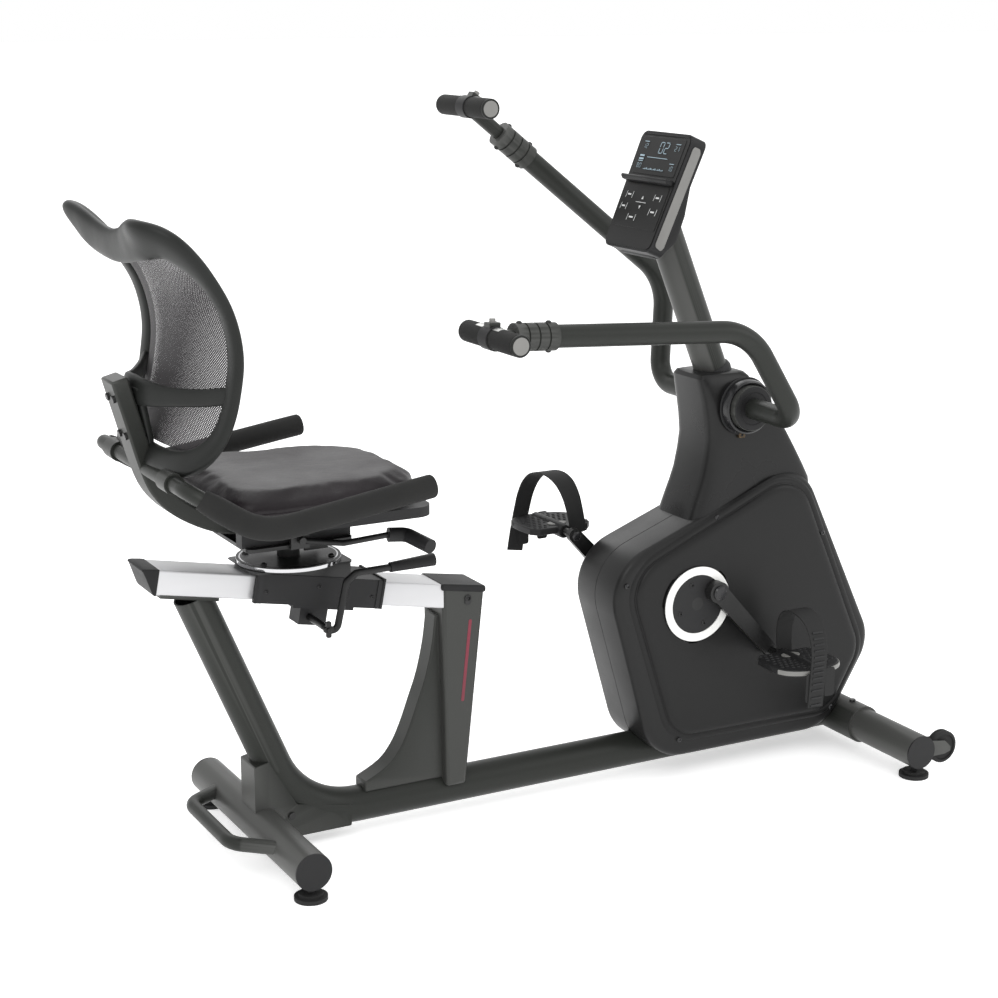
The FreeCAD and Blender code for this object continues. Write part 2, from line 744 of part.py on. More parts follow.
def make_armrest_tube():
    bar = tube(armrest_points(), ARMREST_BEND, ARMREST_R, ARMREST_WALL)
    collar = cross_rod(ARMREST_CROSS, ARMREST_COLLAR[0], ARMREST_COLLAR[1], ARMREST_COLLAR_R)
    collar = collar.cut(cross_rod(ARMREST_CROSS, ARMREST_COLLAR[0], ARMREST_COLLAR[1], ARMREST_R))
    return fuse([bar, collar, mirrored(collar)])


def make_armrest_grips():
    """Foam sleeves with a closed front end on the armrest tube."""
    _, low, high = [vec(*point) for point in ARMREST_PATH]
    along = high.sub(low).normalize()
    start = low.add(along * ARMREST_FOAM_SET)
    end = high.add(along * ARMREST_R)
    foam = rod(start, end, ARMREST_FOAM_R).cut(rod(low, high, ARMREST_R))
    return both(foam)


def make_release_lever():
    pin = cross_rod(RELEASE_PIVOT, -SPACER_OUT - 5, -RELEASE_Y - RELEASE_PIN_R, RELEASE_PIN_R)
    points = [vec(x, -y, z) for x, y, z in RELEASE_PATH]
    points[0] = side_point(RELEASE_PIVOT, -RELEASE_Y)
    return fuse([pin, pipe(points, RELEASE_BEND, RELEASE_R)])


def make_release_grip():
    points = [vec(x, -y, z) for x, y, z in RELEASE_GRIP]
    return pipe(points, RELEASE_BEND / 2, RELEASE_GRIP_R).cut(make_release_lever())


def mast_point(z):
    """The point of the leaning mast axis at height z."""
    share = (z - MAST_AT[1]) / MAST_LEAN[1]
    return vec(MAST_AT[0] + share * MAST_LEAN[0], 0, z)


def mast_solid(radius):
    return rod(mast_point(POST_FOOT_Z), mast_point(MAST_TOP_Z), radius)


def hub_axle_solid(radius):
    return cross_rod(HUB, -HUB_AXLE_HALF, HUB_AXLE_HALF, radius)


def casing_solid():
    return slab(CASING, -CASING_HALF, CASING_HALF)


def make_casing(side):
    """One half shell with a raised panel and a round recess for the crank disc."""
    outer = slab(CASING, 0, CASING_HALF)
    rim = [edge for edge in outer.Edges if all(abs(v.Y - CASING_HALF) < 1e-6 for v in edge.Vertexes)]
    outer = outer.makeFillet(CASING_ROUND, rim)
    raised = slab(PANEL, 0, PANEL_HALF, CASING_ROUND)
    inner = inset_slab(CASING, CASING_WALL, 0, CASING_HALF - CASING_WALL)
    inner_panel = inset_slab(PANEL, CASING_WALL, 0, PANEL_HALF - CASING_WALL)
    pad = cross_rod(CRANK, CASING_HALF - CASING_WALL, PANEL_HALF, RECESS_R + RECESS_RIM)
    body = fuse([cut(fuse([outer, raised]), [inner, inner_panel]), pad])
    recess = cross_rod(CRANK, RECESS_Y, PANEL_HALF + 1, RECESS_R)
    axle_hole = cross_rod(CRANK, 0, PANEL_HALF, BOSS_R)
    sleeve = rod(vec(FRONT_X, -SLEEVE_HALF, BEAM_Z), vec(FRONT_X, SLEEVE_HALF, BEAM_Z), SLEEVE_R + PANEL_GAP)
    tube_room = pipe(main_axis(), BEND_R, MAIN_R + PANEL_GAP)
    body = cut(body, [recess, axle_hole, sleeve, tube_room, mast_solid(MAST_R + PANEL_GAP)])
    return body if side == LEFT else mirrored(body)


def make_inner_frame():
    """Inside the casing: the post that carries the mast, the crank shell and the flywheel bearer."""
    post = rod(mast_point(POST_FOOT_Z), mast_point(MAST_JOIN_Z), MAST_R)
    shell = cross_rod(CRANK, -SHELL_HALF, SHELL_HALF, SHELL_R)
    crank_x, crank_z = CRANK
    leg = block(crank_x - 22, crank_x + 22, -18, 18, MAIN_Z, crank_z)
    post_x = mast_point(crank_z).x
    strut = block(crank_x, post_x, -14, 14, crank_z - 18, crank_z + 18)
    wheel_x, wheel_z = FLYWHEEL
    bearer = block(wheel_x - 20, mast_point(wheel_z).x, -24, 24, wheel_z - 20, wheel_z + 20)
    bore = cross_rod(CRANK, -SHELL_HALF, SHELL_HALF, BEARING_R)
    wheel_bore = cross_rod(FLYWHEEL, -30, 30, FLYWHEEL_SHAFT_R + RUN)
    sleeve = rod(vec(FRONT_X, -SLEEVE_HALF, BEAM_Z), vec(FRONT_X, SLEEVE_HALF, BEAM_Z), SLEEVE_R)
    core = rod(mast_point(POST_FOOT_Z), mast_point(MAST_JOIN_Z), MAST_R - MAST_WALL)
    body = fuse([post.cut(core), shell, leg, strut.cut(core), bearer.cut(core)])
    return cut(body, [bore, wheel_bore, main_tube_solid(), sleeve])


def make_bearings():
    """Two rings that carry the crank axle in its shell."""
    rings = []
    for start in (SHELL_HALF - BEARING_T, -SHELL_HALF):
        outer = cross_rod(CRANK, start, start + BEARING_T, BEARING_R)
        rings.append(outer.cut(cross_rod(CRANK, -SHELL_HALF, SHELL_HALF, AXLE_R + RUN)))
    return Part.makeCompound(rings)


def crank_side(side):
    """Boss and spindle points of one arm; the left arm is the right one turned half a turn."""
    sign = -side
    boss = (CRANK[0] + sign * CRANK_OFFSET[0], CRANK[1] + sign * CRANK_OFFSET[1])
    turn = math.radians(CRANK_ANGLE)
    reach_x = CRANK_LENGTH * math.cos(turn)
    reach_z = CRANK_LENGTH * math.sin(turn)
    return boss, (boss[0] + sign * reach_x, boss[1] + sign * reach_z)


def make_crank_shaft():
    axle = cross_rod(CRANK, -DISC_Y[1], DISC_Y[1], AXLE_R)
    spindles = []
    for side in (RIGHT, LEFT):
        _, tip = crank_side(side)
        spindles.append(cross_rod(tip, side * ARM_Y[0], side * SPINDLE_TO, SPINDLE_R))
        spindles.append(cross_rod(tip, side * (ARM_Y[0] - SPINDLE_NUT_T), side * ARM_Y[0], SPINDLE_NUT_R))
    return Part.makeCompound([axle, fuse(spindles[:2]), fuse(spindles[2:])])


def make_crank_discs():
    discs = []
    for side in (RIGHT, LEFT):
        disc = cross_rod(CRANK, side * DISC_Y[0], side * DISC_Y[1], DISC_R)
        discs.append(disc.cut(cross_rod(CRANK, -DISC_Y[1], DISC_Y[1], AXLE_R)))
    return Part.makeCompound(discs)


def make_disc_rings():
    rings = []
    for side in (RIGHT, LEFT):
        start = side * DISC_Y[1]
        end = side * (DISC_Y[1] + DISC_RING_T)
        ring = cross_rod(CRANK, start, end, DISC_R).cut(cross_rod(CRANK, start, end, DISC_RING_IN))
        boss, _ = crank_side(side)
        rings.append(ring.cut(cross_rod(boss, start, end, BOSS_R)))
    return Part.makeCompound(rings)


def make_crank_arms():
    arms = []
    for side in (RIGHT, LEFT):
        boss, tip = crank_side(side)
        y0, y1 = side * ARM_Y[0], side * ARM_Y[1]
        big = cross_rod(boss, y0, y1, ARM_HALF_W[0])
        small = cross_rod(tip, y0, y1, ARM_HALF_W[1])
        along_x = (tip[0] - boss[0]) / CRANK_LENGTH
        along_z = (tip[1] - boss[1]) / CRANK_LENGTH
        corners = []
        for at, half, sign in (
            (boss, ARM_HALF_W[0], 1), (tip, ARM_HALF_W[1], 1), (tip, ARM_HALF_W[1], -1), (boss, ARM_HALF_W[0], -1),
        ):
            corners.append((at[0] - sign * half * along_z, at[1] + sign * half * along_x))
        blade = slab(corners, y0, y1)
        neck = cross_rod(boss, side * DISC_Y[1], y1, BOSS_R)
        arms.append(fuse([big, small, blade, neck]).cut(cross_rod(tip, y0, y1, SPINDLE_R)))
    return Part.makeCompound(arms)


def make_pedal(side):
    """The platform, its spindle housing and a slotted tab at each strap end."""
    _, tip = crank_side(side)
    x, z = tip
    y0, y1 = PEDAL_Y
    top = z + PEDAL_TOP
    platform = rounded_block(x - PEDAL_HALF_X, x + PEDAL_HALF_X, y0, y1, z + PEDAL_BOTTOM, top, PEDAL_CORNER)
    housing = cross_rod(tip, y0, y1, PEDAL_HOUSING_R)
    above = block(x - PEDAL_HALF_X, x + PEDAL_HALF_X, y0, y1, top, top + PEDAL_HOUSING_R)
    body = cut(fuse([platform, housing]), [above, cross_rod(tip, 0, y1 + 1, SPINDLE_R + RUN)])
    return body if side == LEFT else mirrored(body)


def make_strap(side):
    """An arch over the platform; its outer end hangs below as the ladder."""
    _, (x, z) = crank_side(side)
    y0, y1 = PEDAL_Y[0] - STRAP_T - STRAP_GAP, PEDAL_Y[1] + STRAP_T + STRAP_GAP
    low_in = z + PEDAL_BOTTOM
    low_out = z - STRAP_HANG
    top = z + PEDAL_TOP + STRAP_RISE
    x0 = x - STRAP_W / 2

    def arch(inset, drop):
        shoulder = 0.62 * (top - z)
        outline = [
            vec(x0, y0 + inset, low_in), vec(x0, y0 + inset, z + shoulder), vec(x0, y0 + 24 + inset, top - drop),
            vec(x0, y1 - 24 - inset, top - drop), vec(x0, y1 - inset, z + shoulder), vec(x0, y1 - inset, low_out),
        ]
        return path_edges(outline, 20 - inset)

    outer = arch(0, 0)
    inner = arch(STRAP_T, STRAP_T)
    foot = Part.makeLine(vec(x0, y0 + STRAP_T, low_in), vec(x0, y0, low_in))
    hem = Part.makeLine(vec(x0, y1 - STRAP_T, low_out), vec(x0, y1, low_out))
    face = Part.Face(Part.Wire(Part.__sortEdges__(outer + inner + [foot, hem])))
    strap = face.extrude(vec(STRAP_W, 0, 0)).cut(cross_rod((x, z), 0, PEDAL_Y[0], PEDAL_HOUSING_R))
    return strap if side == LEFT else mirrored(strap)


def make_drive_pulley():
    rim = cross_rod(CRANK, -PULLEY_Y[1], -PULLEY_Y[0], PULLEY_R)
    web_room = cross_rod(CRANK, -PULLEY_Y[1], -PULLEY_Y[0] - 4, PULLEY_R - 10)
    hub = cross_rod(CRANK, -PULLEY_Y[1], -PULLEY_Y[0], BEARING_R)
    return fuse([rim.cut(web_room), hub]).cut(cross_rod(CRANK, -DISC_Y[1], DISC_Y[1], AXLE_R))


def make_flywheel():
    small_r = PULLEY_R / WHEEL_RATIO
    disc = cross_rod(FLYWHEEL, FLYWHEEL_Y[0], FLYWHEEL_Y[1], FLYWHEEL_R)
    shaft = cross_rod(FLYWHEEL, -PULLEY_Y[1], FLYWHEEL_Y[1], FLYWHEEL_SHAFT_R)
    small = cross_rod(FLYWHEEL, -PULLEY_Y[1], -PULLEY_Y[0], small_r)
    return fuse([disc, shaft, small])


def belt_band(grow):
    """Both pulleys and the straight run between them, grown by grow."""
    big = PULLEY_R + grow
    small = PULLEY_R / WHEEL_RATIO + grow
    run = side_point(FLYWHEEL).sub(side_point(CRANK))
    gap = run.Length
    heading = math.atan2(run.z, run.x)
    lean = math.acos((big - small) / gap)
    corners = []
    for at, radius, sign in ((CRANK, big, 1), (FLYWHEEL, small, 1), (FLYWHEEL, small, -1), (CRANK, big, -1)):
        turn = heading + sign * lean
        corners.append((at[0] + radius * math.cos(turn), at[1] + radius * math.sin(turn)))
    y0, y1 = -PULLEY_Y[1], -PULLEY_Y[0]
    return fuse([cross_rod(CRANK, y0, y1, big), cross_rod(FLYWHEEL, y0, y1, small), slab(corners, y0, y1)])


def make_drive_belt():
    return belt_band(BELT_GAP + BELT_T).cut(belt_band(BELT_GAP))


def make_mast():
    """The leaning tube with the fixed axle that both arms turn on."""
    outer = rod(mast_point(MAST_JOIN_Z), mast_point(MAST_TOP_Z), MAST_R)
    core = rod(mast_point(MAST_JOIN_Z), mast_point(MAST_TOP_Z), MAST_R - MAST_WALL)
    return fuse([outer.cut(core), hub_axle_solid(HUB_AXLE_R)])


def make_shroud(side):
    """Half of the cover round the foot of the mast, with the rim that shields the arm's hub."""
    flat_in = inset_outline(SHROUD_NARROW)
    wide_in = inset_outline(SHROUD_WIDE)
    outer = shroud_half(SHROUD_NARROW, SHROUD_WIDE, SHROUD_HALF)
    inner = shroud_half(flat_in, wide_in, SHROUD_HALF - SHROUD_WALL)
    rim = cross_rod(HUB, SHROUD_HALF - SHROUD_WALL, HUB_RIM_Y, HUB_RIM_R)
    body = fuse([outer.cut(inner), rim])
    hole = cross_rod(HUB, SHROUD_HALF - 2 * SHROUD_WALL, HUB_RIM_Y, HUB_RIM_IN)
    body = cut(body, [hole, casing_solid(), mast_solid(MAST_R + PANEL_GAP)])
    return body if side == LEFT else mirrored(body)


def shroud_half(narrow, wide, half):
    wires = []
    for profile, y in ((narrow, SHROUD_FLAT), (wide, half)):
        wires.append(Part.Wire(path_edges([vec(x, y, z) for x, z in profile], 0, True)))
    taper = Part.makeLoft(wires, True, True)
    return fuse([slab(narrow, 0, SHROUD_FLAT), taper])


def inset_outline(profile):
    """The outline moved inwards by the wall, corner by corner."""
    count = len(profile)
    area = sum(profile[i - 1][0] * profile[i][1] - profile[i][0] * profile[i - 1][1] for i in range(count))
    turn = 1 if area > 0 else -1
    result = []
    for index in range(count):
        here = FreeCAD.Vector(profile[index][0], profile[index][1], 0)
        before = FreeCAD.Vector(profile[index - 1][0], profile[index - 1][1], 0)
        after_pair = profile[(index + 1) % count]
        after = FreeCAD.Vector(after_pair[0], after_pair[1], 0)
        first = here.sub(before).normalize()
        second = after.sub(here).normalize()
        normal_a = FreeCAD.Vector(-first.y, first.x, 0) * turn
        normal_b = FreeCAD.Vector(-second.y, second.x, 0) * turn
        mean = normal_a.add(normal_b).normalize()
        moved = here.add(mean * (SHROUD_WALL / mean.dot(normal_a)))
        result.append((moved.x, moved.y))
    return result


def run_point(x, y):
    """A point on the arm's long run, which rises towards the rider."""
    return vec(x, y, TUBE_KNEE[1] + (TUBE_KNEE[0] - x) * math.tan(math.radians(TUBE_RISE)))


def set_arm(shape, side):
    """A shape drawn for the left side in the right arm's stance, put on its own side and stance."""
    if side == RIGHT:
        return mirrored(shape)
    shape = shape.copy()
    shape.rotate(side_point(HUB), vec(0, 1, 0), LEFT_ARM_TURN)
    return shape


def set_handle(shape, side):
    if side == LEFT:
        out = run_point(0, TUBE_Y).sub(run_point(1, TUBE_Y)).normalize()
        shape = shape.copy()
        shape.translate(out * LEFT_HANDLE_OUT)
    return set_arm(shape, side)


def make_arm(side):
    """The hub cup on the axle, the bent tube and the split collar that grips the stem."""
    path = [side_point(HUB, HUB_CUP_Y[1]), side_point(HUB, TUBE_Y), side_point(TUBE_KNEE, TUBE_Y)]
    path.append(run_point(COLLAR_X[1] - 1, TUBE_Y))
    knee = path_edges(path[1:], TUBE_KNEE_BEND)
    start = path_edges(path[:3], TUBE_HUB_BEND)
    edges = [start[0], start[1]]
    first_straight = Part.makeLine(start[1].Vertexes[-1].Point, knee[1].Vertexes[0].Point)
    edges += [first_straight] + knee[1:]
    spine = Part.Wire(edges)
    profile_at = path[0]
    along = vec(0, 1, 0)
    outer = spine.makePipeShell([Part.Wire(Part.makeCircle(TUBE_R, profile_at, along))], True, False)
    core = spine.makePipeShell([Part.Wire(Part.makeCircle(TUBE_R - TUBE_WALL, profile_at, along))], True, False)
    cup = cross_rod(HUB, HUB_CUP_Y[0], HUB_CUP_Y[1], HUB_CUP_R)
    bore = cross_rod(HUB, 0, HUB_AXLE_HALF, HUB_AXLE_R + RUN)
    collar_from = run_point(COLLAR_X[1], TUBE_Y)
    collar_to = run_point(COLLAR_X[0], TUBE_Y)
    collar = rod(collar_from, collar_to, COLLAR_R)
    step = collar_to.sub(collar_from) * 0.25
    for index in (1, 2, 3):
        middle = collar_from.add(step * index)
        half = step.normalize() * COLLAR_GROOVE
        step = collar_to.sub(collar_from) * 0.25
        groove = rod(middle.sub(half), middle.add(half), COLLAR_R + 1)
        collar = collar.cut(groove.cut(rod(middle.sub(half), middle.add(half), COLLAR_R - COLLAR_GROOVE)))
    stem_bore = rod(run_point(STEM_IN_X, TUBE_Y), run_point(COLLAR_X[0] - 5, TUBE_Y), STEM_R + RUN)
    body = cut(fuse([outer.cut(core), cup, collar]), [bore, stem_bore])
    return set_arm(body, side)


def make_handle(side):
    """The stem that slides in the arm, the cross bar, and the pod of the thumb button."""
    bar_at = run_point(BAR_X, 0)
    axis = (bar_at.x, bar_at.z)
    stem = rod(run_point(STEM_IN_X, TUBE_Y), run_point(BAR_X, TUBE_Y), STEM_R)
    bar = cross_rod(axis, BAR_Y[0] + BAR_DISC_T, BAR_Y[1] - BAR_DISC_T, BAR_CORE_R)
    saddle = cross_rod(axis, TUBE_Y - SADDLE_HALF, TUBE_Y + SADDLE_HALF, SADDLE_R)
    pod_x, pod_y = POD_HALF
    pod = block(axis[0] - pod_x, axis[0] + pod_x, TUBE_Y - pod_y, TUBE_Y + pod_y, axis[1], axis[1] + POD_TOP)
    body = fuse([stem, bar, saddle, pod])
    return set_handle(body.cut(button_solid(RUN)), side)


def button_solid(gap):
    axis = run_point(BAR_X, TUBE_Y)
    low = axis.z + POD_TOP - BUTTON_SINK - gap
    return Part.makeCylinder(BUTTON_R + gap, BUTTON_H + BUTTON_SINK, vec(axis.x, TUBE_Y, low))


def make_button(side):
    cap = button_solid(0)
    cap.translate(vec(0, 0, BUTTON_SINK - 1))
    return set_handle(cap, side)


def make_handle_grips(side):
    """Two foam sleeves and their end discs on the cross bar."""
    bar_at = run_point(BAR_X, 0)
    axis = (bar_at.x, bar_at.z)
    core = cross_rod(axis, BAR_Y[0] + BAR_DISC_T, BAR_Y[1] - BAR_DISC_T, BAR_CORE_R)
    inner = cross_rod(axis, BAR_Y[0], TUBE_Y - SADDLE_HALF, GRIP_R).cut(core)
    outer = cross_rod(axis, TUBE_Y + SADDLE_HALF, BAR_Y[1], GRIP_R).cut(core)
    return set_handle(Part.makeCompound([inner, outer]), side)


def make_console_housing():
    outer = slab(CONSOLE, -CONSOLE_HALF, CONSOLE_HALF, 4)
    core = inset_slab(CONSOLE, CONSOLE_WALL, CONSOLE_WALL - CONSOLE_HALF, CONSOLE_HALF - CONSOLE_WALL)
    body = outer.cut(core)
    backing = [block(0, 2 * CONSOLE_WALL, -LENS[0] - 2, LENS[0] + 2, LENS[1] - 2, LENS[2] + 2)]
    backing.append(block(0, 2 * CONSOLE_WALL, -KEYPAD[0] - 2, KEYPAD[0] + 2, KEYPAD[1] - 2, KEYPAD[2] + 2))
    ledge = rod(vec(-LEDGE_R, -LEDGE_HALF, LEDGE_UP), vec(-LEDGE_R, LEDGE_HALF, LEDGE_UP), LEDGE_R)
    bed = block(-LEDGE_R, CONSOLE_WALL, -LEDGE_HALF, LEDGE_HALF, LEDGE_UP - 3, LEDGE_UP + 3)
    body = fuse([body] + backing + [ledge, bed])
    return on_console(cut(body, [face_plate(LENS), face_plate(KEYPAD)])).cut(mast_solid(MAST_R))


def face_plate(size):
    half, low, high = size
    return block(0, PLATE_T, -half, half, low, high)


def make_wheel(side):
    y = side * WHEEL_Y
    wheel = cross_rod(WHEEL_AT, y - WHEEL_HALF, y + WHEEL_HALF, WHEEL_R)
    return wheel.cut(cross_rod(WHEEL_AT, y - WHEEL_HALF, y + WHEEL_HALF, WHEEL_AXLE_R + RUN))


def make_wheel_brackets():
    """Two cheeks and an axle pin for each transport wheel, on the front of the stabiliser."""
    gap = WHEEL_HALF + WHEEL_GAP
    cheeks = []
    for y in (WHEEL_Y - gap - CHEEK_T, WHEEL_Y + gap):
        cheeks.append(slab(CHEEK, y, y + CHEEK_T))
    pin = cross_rod(WHEEL_AT, WHEEL_Y - gap - CHEEK_T, WHEEL_Y + gap + CHEEK_T, WHEEL_AXLE_R)
    return both(fuse(cheeks + [pin]).cut(front_beam_solid()))


def make_nodes():
    nodes = {
        "main_frame": make_main_frame(),
        "front_upright": make_front_upright(),
        "upright_cap": make_upright_cap(),
        "rear_stabiliser": make_beam(0, REAR_HALF, REAR_FOOT_Y),
        "front_stabiliser": make_beam(FRONT_X, FRONT_HALF, FRONT_FOOT_Y),
        "stabiliser_caps": make_stabiliser_caps(),
        "levelling_feet": make_feet(),
        "carry_handle": make_carry_handle(),
        "frame_bolts": make_frame_bolts(),
        "seat_rail": make_seat_rail(),
        "rail_cap": make_rail_cap(),
        "inner_frame": make_inner_frame(),
        "bearings": make_bearings(),
        "casing_right": make_casing(RIGHT),
        "casing_left": make_casing(LEFT),
        "neck_shroud_right": make_shroud(RIGHT),
        "neck_shroud_left": make_shroud(LEFT),
        "mast": make_mast(),
        "console_housing": make_console_housing(),
        "display_lens": on_console(face_plate(LENS)),
        "keypad": on_console(face_plate(KEYPAD)),
        "drive_belt": make_drive_belt(),
        "wheel_brackets": make_wheel_brackets(),
        "seat_carriage": make_carriage(),
        "swivel_base": make_swivel_base(),
        "index_ring": make_index_ring(),
        "lock_lever": make_lock_lever(),
        "lock_grip": make_lock_grip(),
        "seat_post": make_seat_post(),
        "seat_pan": make_seat_pan(),
        "seat_cushion": make_cushion(),
        "back_bracket": make_back_bracket(),
        "back_bolts": make_back_bolts(),
        "backrest_frame": make_backrest_frame(),
        "backrest_mesh": make_backrest_mesh(),
        "armrest_tube": make_armrest_tube(),
        "armrest_grips": make_armrest_grips(),
        "release_lever": make_release_lever(),
        "release_grip": make_release_grip(),
        "crank_shaft": make_crank_shaft(),
        "crank_discs": make_crank_discs(),
        "disc_rings": make_disc_rings(),
        "crank_arms": make_crank_arms(),
        "drive_pulley": make_drive_pulley(),
        "flywheel": make_flywheel(),
    }
    for name, side in (("right", RIGHT), ("left", LEFT)):
        nodes["pedal_" + name] = make_pedal(side)
        nodes["strap_" + name] = make_strap(side)
        nodes["arm_" + name] = make_arm(side)
        nodes["t_handle_" + name] = make_handle(side)
        nodes["t_grips_" + name] = make_handle_grips(side)
        nodes["handle_button_" + name] = make_button(side)
        nodes["wheel_" + name] = make_wheel(side)
    return nodes


def main():
    """Writes each node, moved so that the origin is under the middle of the whole bike."""
    nodes = make_nodes()
    whole = Part.makeCompound(list(nodes.values())).optimalBoundingBox(False)
    shift = vec(-whole.Center.x, -whole.Center.y, -whole.ZMin)
    print("shift", round(shift.x, 3), round(shift.y, 3), round(shift.z, 3))
    print("size", round(whole.XLength, 1), round(whole.YLength, 1), round(whole.ZLength, 1))
    os.makedirs("parts", exist_ok=True)
    for name, shape in nodes.items():
        shape.translate(shift)
        shape.exportStep("parts/" + name + ".step")


main()
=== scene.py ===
import math

import bmesh
import bpy
from mathutils import Matrix, Vector


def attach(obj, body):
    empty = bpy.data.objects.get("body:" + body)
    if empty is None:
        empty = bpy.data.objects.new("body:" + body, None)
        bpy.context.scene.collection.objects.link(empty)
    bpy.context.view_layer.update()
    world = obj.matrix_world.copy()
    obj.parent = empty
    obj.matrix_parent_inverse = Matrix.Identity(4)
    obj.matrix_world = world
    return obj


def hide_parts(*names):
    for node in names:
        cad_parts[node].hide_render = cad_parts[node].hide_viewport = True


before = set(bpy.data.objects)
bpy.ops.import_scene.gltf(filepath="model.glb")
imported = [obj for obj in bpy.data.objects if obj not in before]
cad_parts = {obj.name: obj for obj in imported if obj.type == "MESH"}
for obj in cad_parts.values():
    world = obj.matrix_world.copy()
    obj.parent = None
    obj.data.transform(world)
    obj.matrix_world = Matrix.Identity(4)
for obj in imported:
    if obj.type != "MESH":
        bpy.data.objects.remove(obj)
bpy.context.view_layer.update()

bl_info = {
    "name": "Recumbent bike finishes",
    "version": (1, 0, 0),
    "blender": (4, 5, 0),
    "location": "3D View > Sidebar > Bike",
    "description": "Builds the visible pieces and finishes of a recumbent exercise bike",
    "category": "Object",
}

# +X is forward, +Y is to the rider's left, +Z is up, and the floor is at Z = 0. Outlines and
# centre lines are drawn in millimetres, with X measured from the drawing's own origin; at()
# turns them into metres in the bike's frame. AFT is the drawing origin's place in that frame.
AFT = -0.513

# Plastics darker than DARK_BELOW reflect less of the white surround.
DARK_BELOW = 0.1
DARK_SPECULAR = 0.22


def at(x, y, z):
    """A point given in millimetres from the rear stabiliser, moved into the bike's frame."""
    return Vector((x / 1000.0 + AFT, y / 1000.0, z / 1000.0))


# ---------------------------------------------------------------- materials

def new_material(name):
    material = bpy.data.materials.new(name)
    material.use_nodes = True
    return material, material.node_tree.nodes, material.node_tree.links


def object_coords(nodes, links, stretch=(1.0, 1.0, 1.0), source="Object"):
    coords = nodes.new("ShaderNodeTexCoord")
    mapping = nodes.new("ShaderNodeMapping")
    mapping.inputs["Scale"].default_value = stretch
    links.new(coords.outputs[source], mapping.inputs["Vector"])
    return mapping.outputs["Vector"]


def noise(nodes, links, vector, scale, detail=3.0, rough=0.55):
    texture = nodes.new("ShaderNodeTexNoise")
    texture.inputs["Scale"].default_value = scale
    texture.inputs["Detail"].default_value = detail
    texture.inputs["Roughness"].default_value = rough
    links.new(vector, texture.inputs["Vector"])
    return texture.outputs["Fac"]


def spread(nodes, links, value, low, high, from_low=0.3, from_high=0.7):
    remap = nodes.new("ShaderNodeMapRange")
    remap.inputs["From Min"].default_value = from_low
    remap.inputs["From Max"].default_value = from_high
    remap.inputs["To Min"].default_value = low
    remap.inputs["To Max"].default_value = high
    links.new(value, remap.inputs["Value"])
    return remap.outputs["Result"]


def two_tone(nodes, links, value, dark, light):
    ramp = nodes.new("ShaderNodeValToRGB")
    ramp.color_ramp.elements[0].position = 0.35
    ramp.color_ramp.elements[1].position = 0.65
    ramp.color_ramp.elements[0].color = (*dark, 1.0)
    ramp.color_ramp.elements[1].color = (*light, 1.0)
    links.new(value, ramp.inputs["Fac"])
    return ramp.outputs["Color"]


def bump(nodes, links, shader, height, depth, strength=1.0):
    node = nodes.new("ShaderNodeBump")
    node.inputs["Strength"].default_value = strength
    node.inputs["Distance"].default_value = depth
    links.new(height, node.inputs["Height"])
    links.new(node.outputs["Normal"], shader.inputs["Normal"])
    return node


def worn(nodes, links, colour_out, edge_colour, amount):
    """Lightens convex edges a little, as handling does."""
    geometry = nodes.new("ShaderNodeNewGeometry")
    edge = spread(nodes, links, geometry.outputs["Pointiness"], 0.0, amount, 0.52, 0.62)
    mix = nodes.new("ShaderNodeMix")
    mix.data_type = "RGBA"
    links.new(edge, mix.inputs["Factor"])
    links.new(colour_out, mix.inputs["A"])
    mix.inputs["B"].default_value = (*edge_colour, 1.0)
    return mix.outputs["Result"]


def finish(name, colour, rough, metal=0.0, grain=900.0, depth=0.00006, vary=0.12, stretch=(1, 1, 1), coat=0.0,
           rough_vary=0.07, edge=0.0):
    """A procedural finish: broad colour drift, fine grain in the bump, and roughness that wanders."""
    material, nodes, links = new_material(name)
    shader = nodes["Principled BSDF"]
    vector = object_coords(nodes, links, stretch)
    broad = noise(nodes, links, vector, 9.0, 4.0)
    fine = noise(nodes, links, vector, grain, 2.0)
    dark = tuple(channel * (1 - vary) for channel in colour)
    light = tuple(min(1.0, channel * (1 + vary)) for channel in colour)
    paint = two_tone(nodes, links, broad, dark, light)
    if edge > 0:
        paint = worn(nodes, links, paint, tuple(min(1.0, c * 2.2 + 0.02) for c in colour), edge)
    links.new(paint, shader.inputs["Base Color"])
    links.new(spread(nodes, links, broad, rough - rough_vary, rough + rough_vary), shader.inputs["Roughness"])
    shader.inputs["Metallic"].default_value = metal
    shader.inputs["Coat Weight"].default_value = coat
    dark_plastic = max(colour) < DARK_BELOW and not metal
    shader.inputs["Specular IOR Level"].default_value = DARK_SPECULAR if dark_plastic else 0.5
    shader.inputs["Coat Roughness"].default_value = 0.25
    bump(nodes, links, shader, fine, depth)
    return material


def powder_coat(colour):
    """Satin powder coat: orange-peel ripple, fine metallic fleck."""
    material, nodes, links = new_material("graphite_powder_coat")
    shader = nodes["Principled BSDF"]
    vector = object_coords(nodes, links)
    peel = noise(nodes, links, vector, 420.0, 2.0)
    fleck = noise(nodes, links, vector, 2600.0, 1.0)
    broad = noise(nodes, links, vector, 5.0, 3.0)
    paint = two_tone(nodes, links, fleck, tuple(c * 0.82 for c in colour), tuple(c * 1.25 for c in colour))
    links.new(worn(nodes, links, paint, (0.16, 0.16, 0.155), 0.35), shader.inputs["Base Color"])
    links.new(spread(nodes, links, broad, 0.36, 0.46), shader.inputs["Roughness"])
    shader.inputs["Metallic"].default_value = 0.1
    shader.inputs["Specular IOR Level"].default_value = 0.24
    bump(nodes, links, shader, peel, 0.00012, 0.6)
    return material


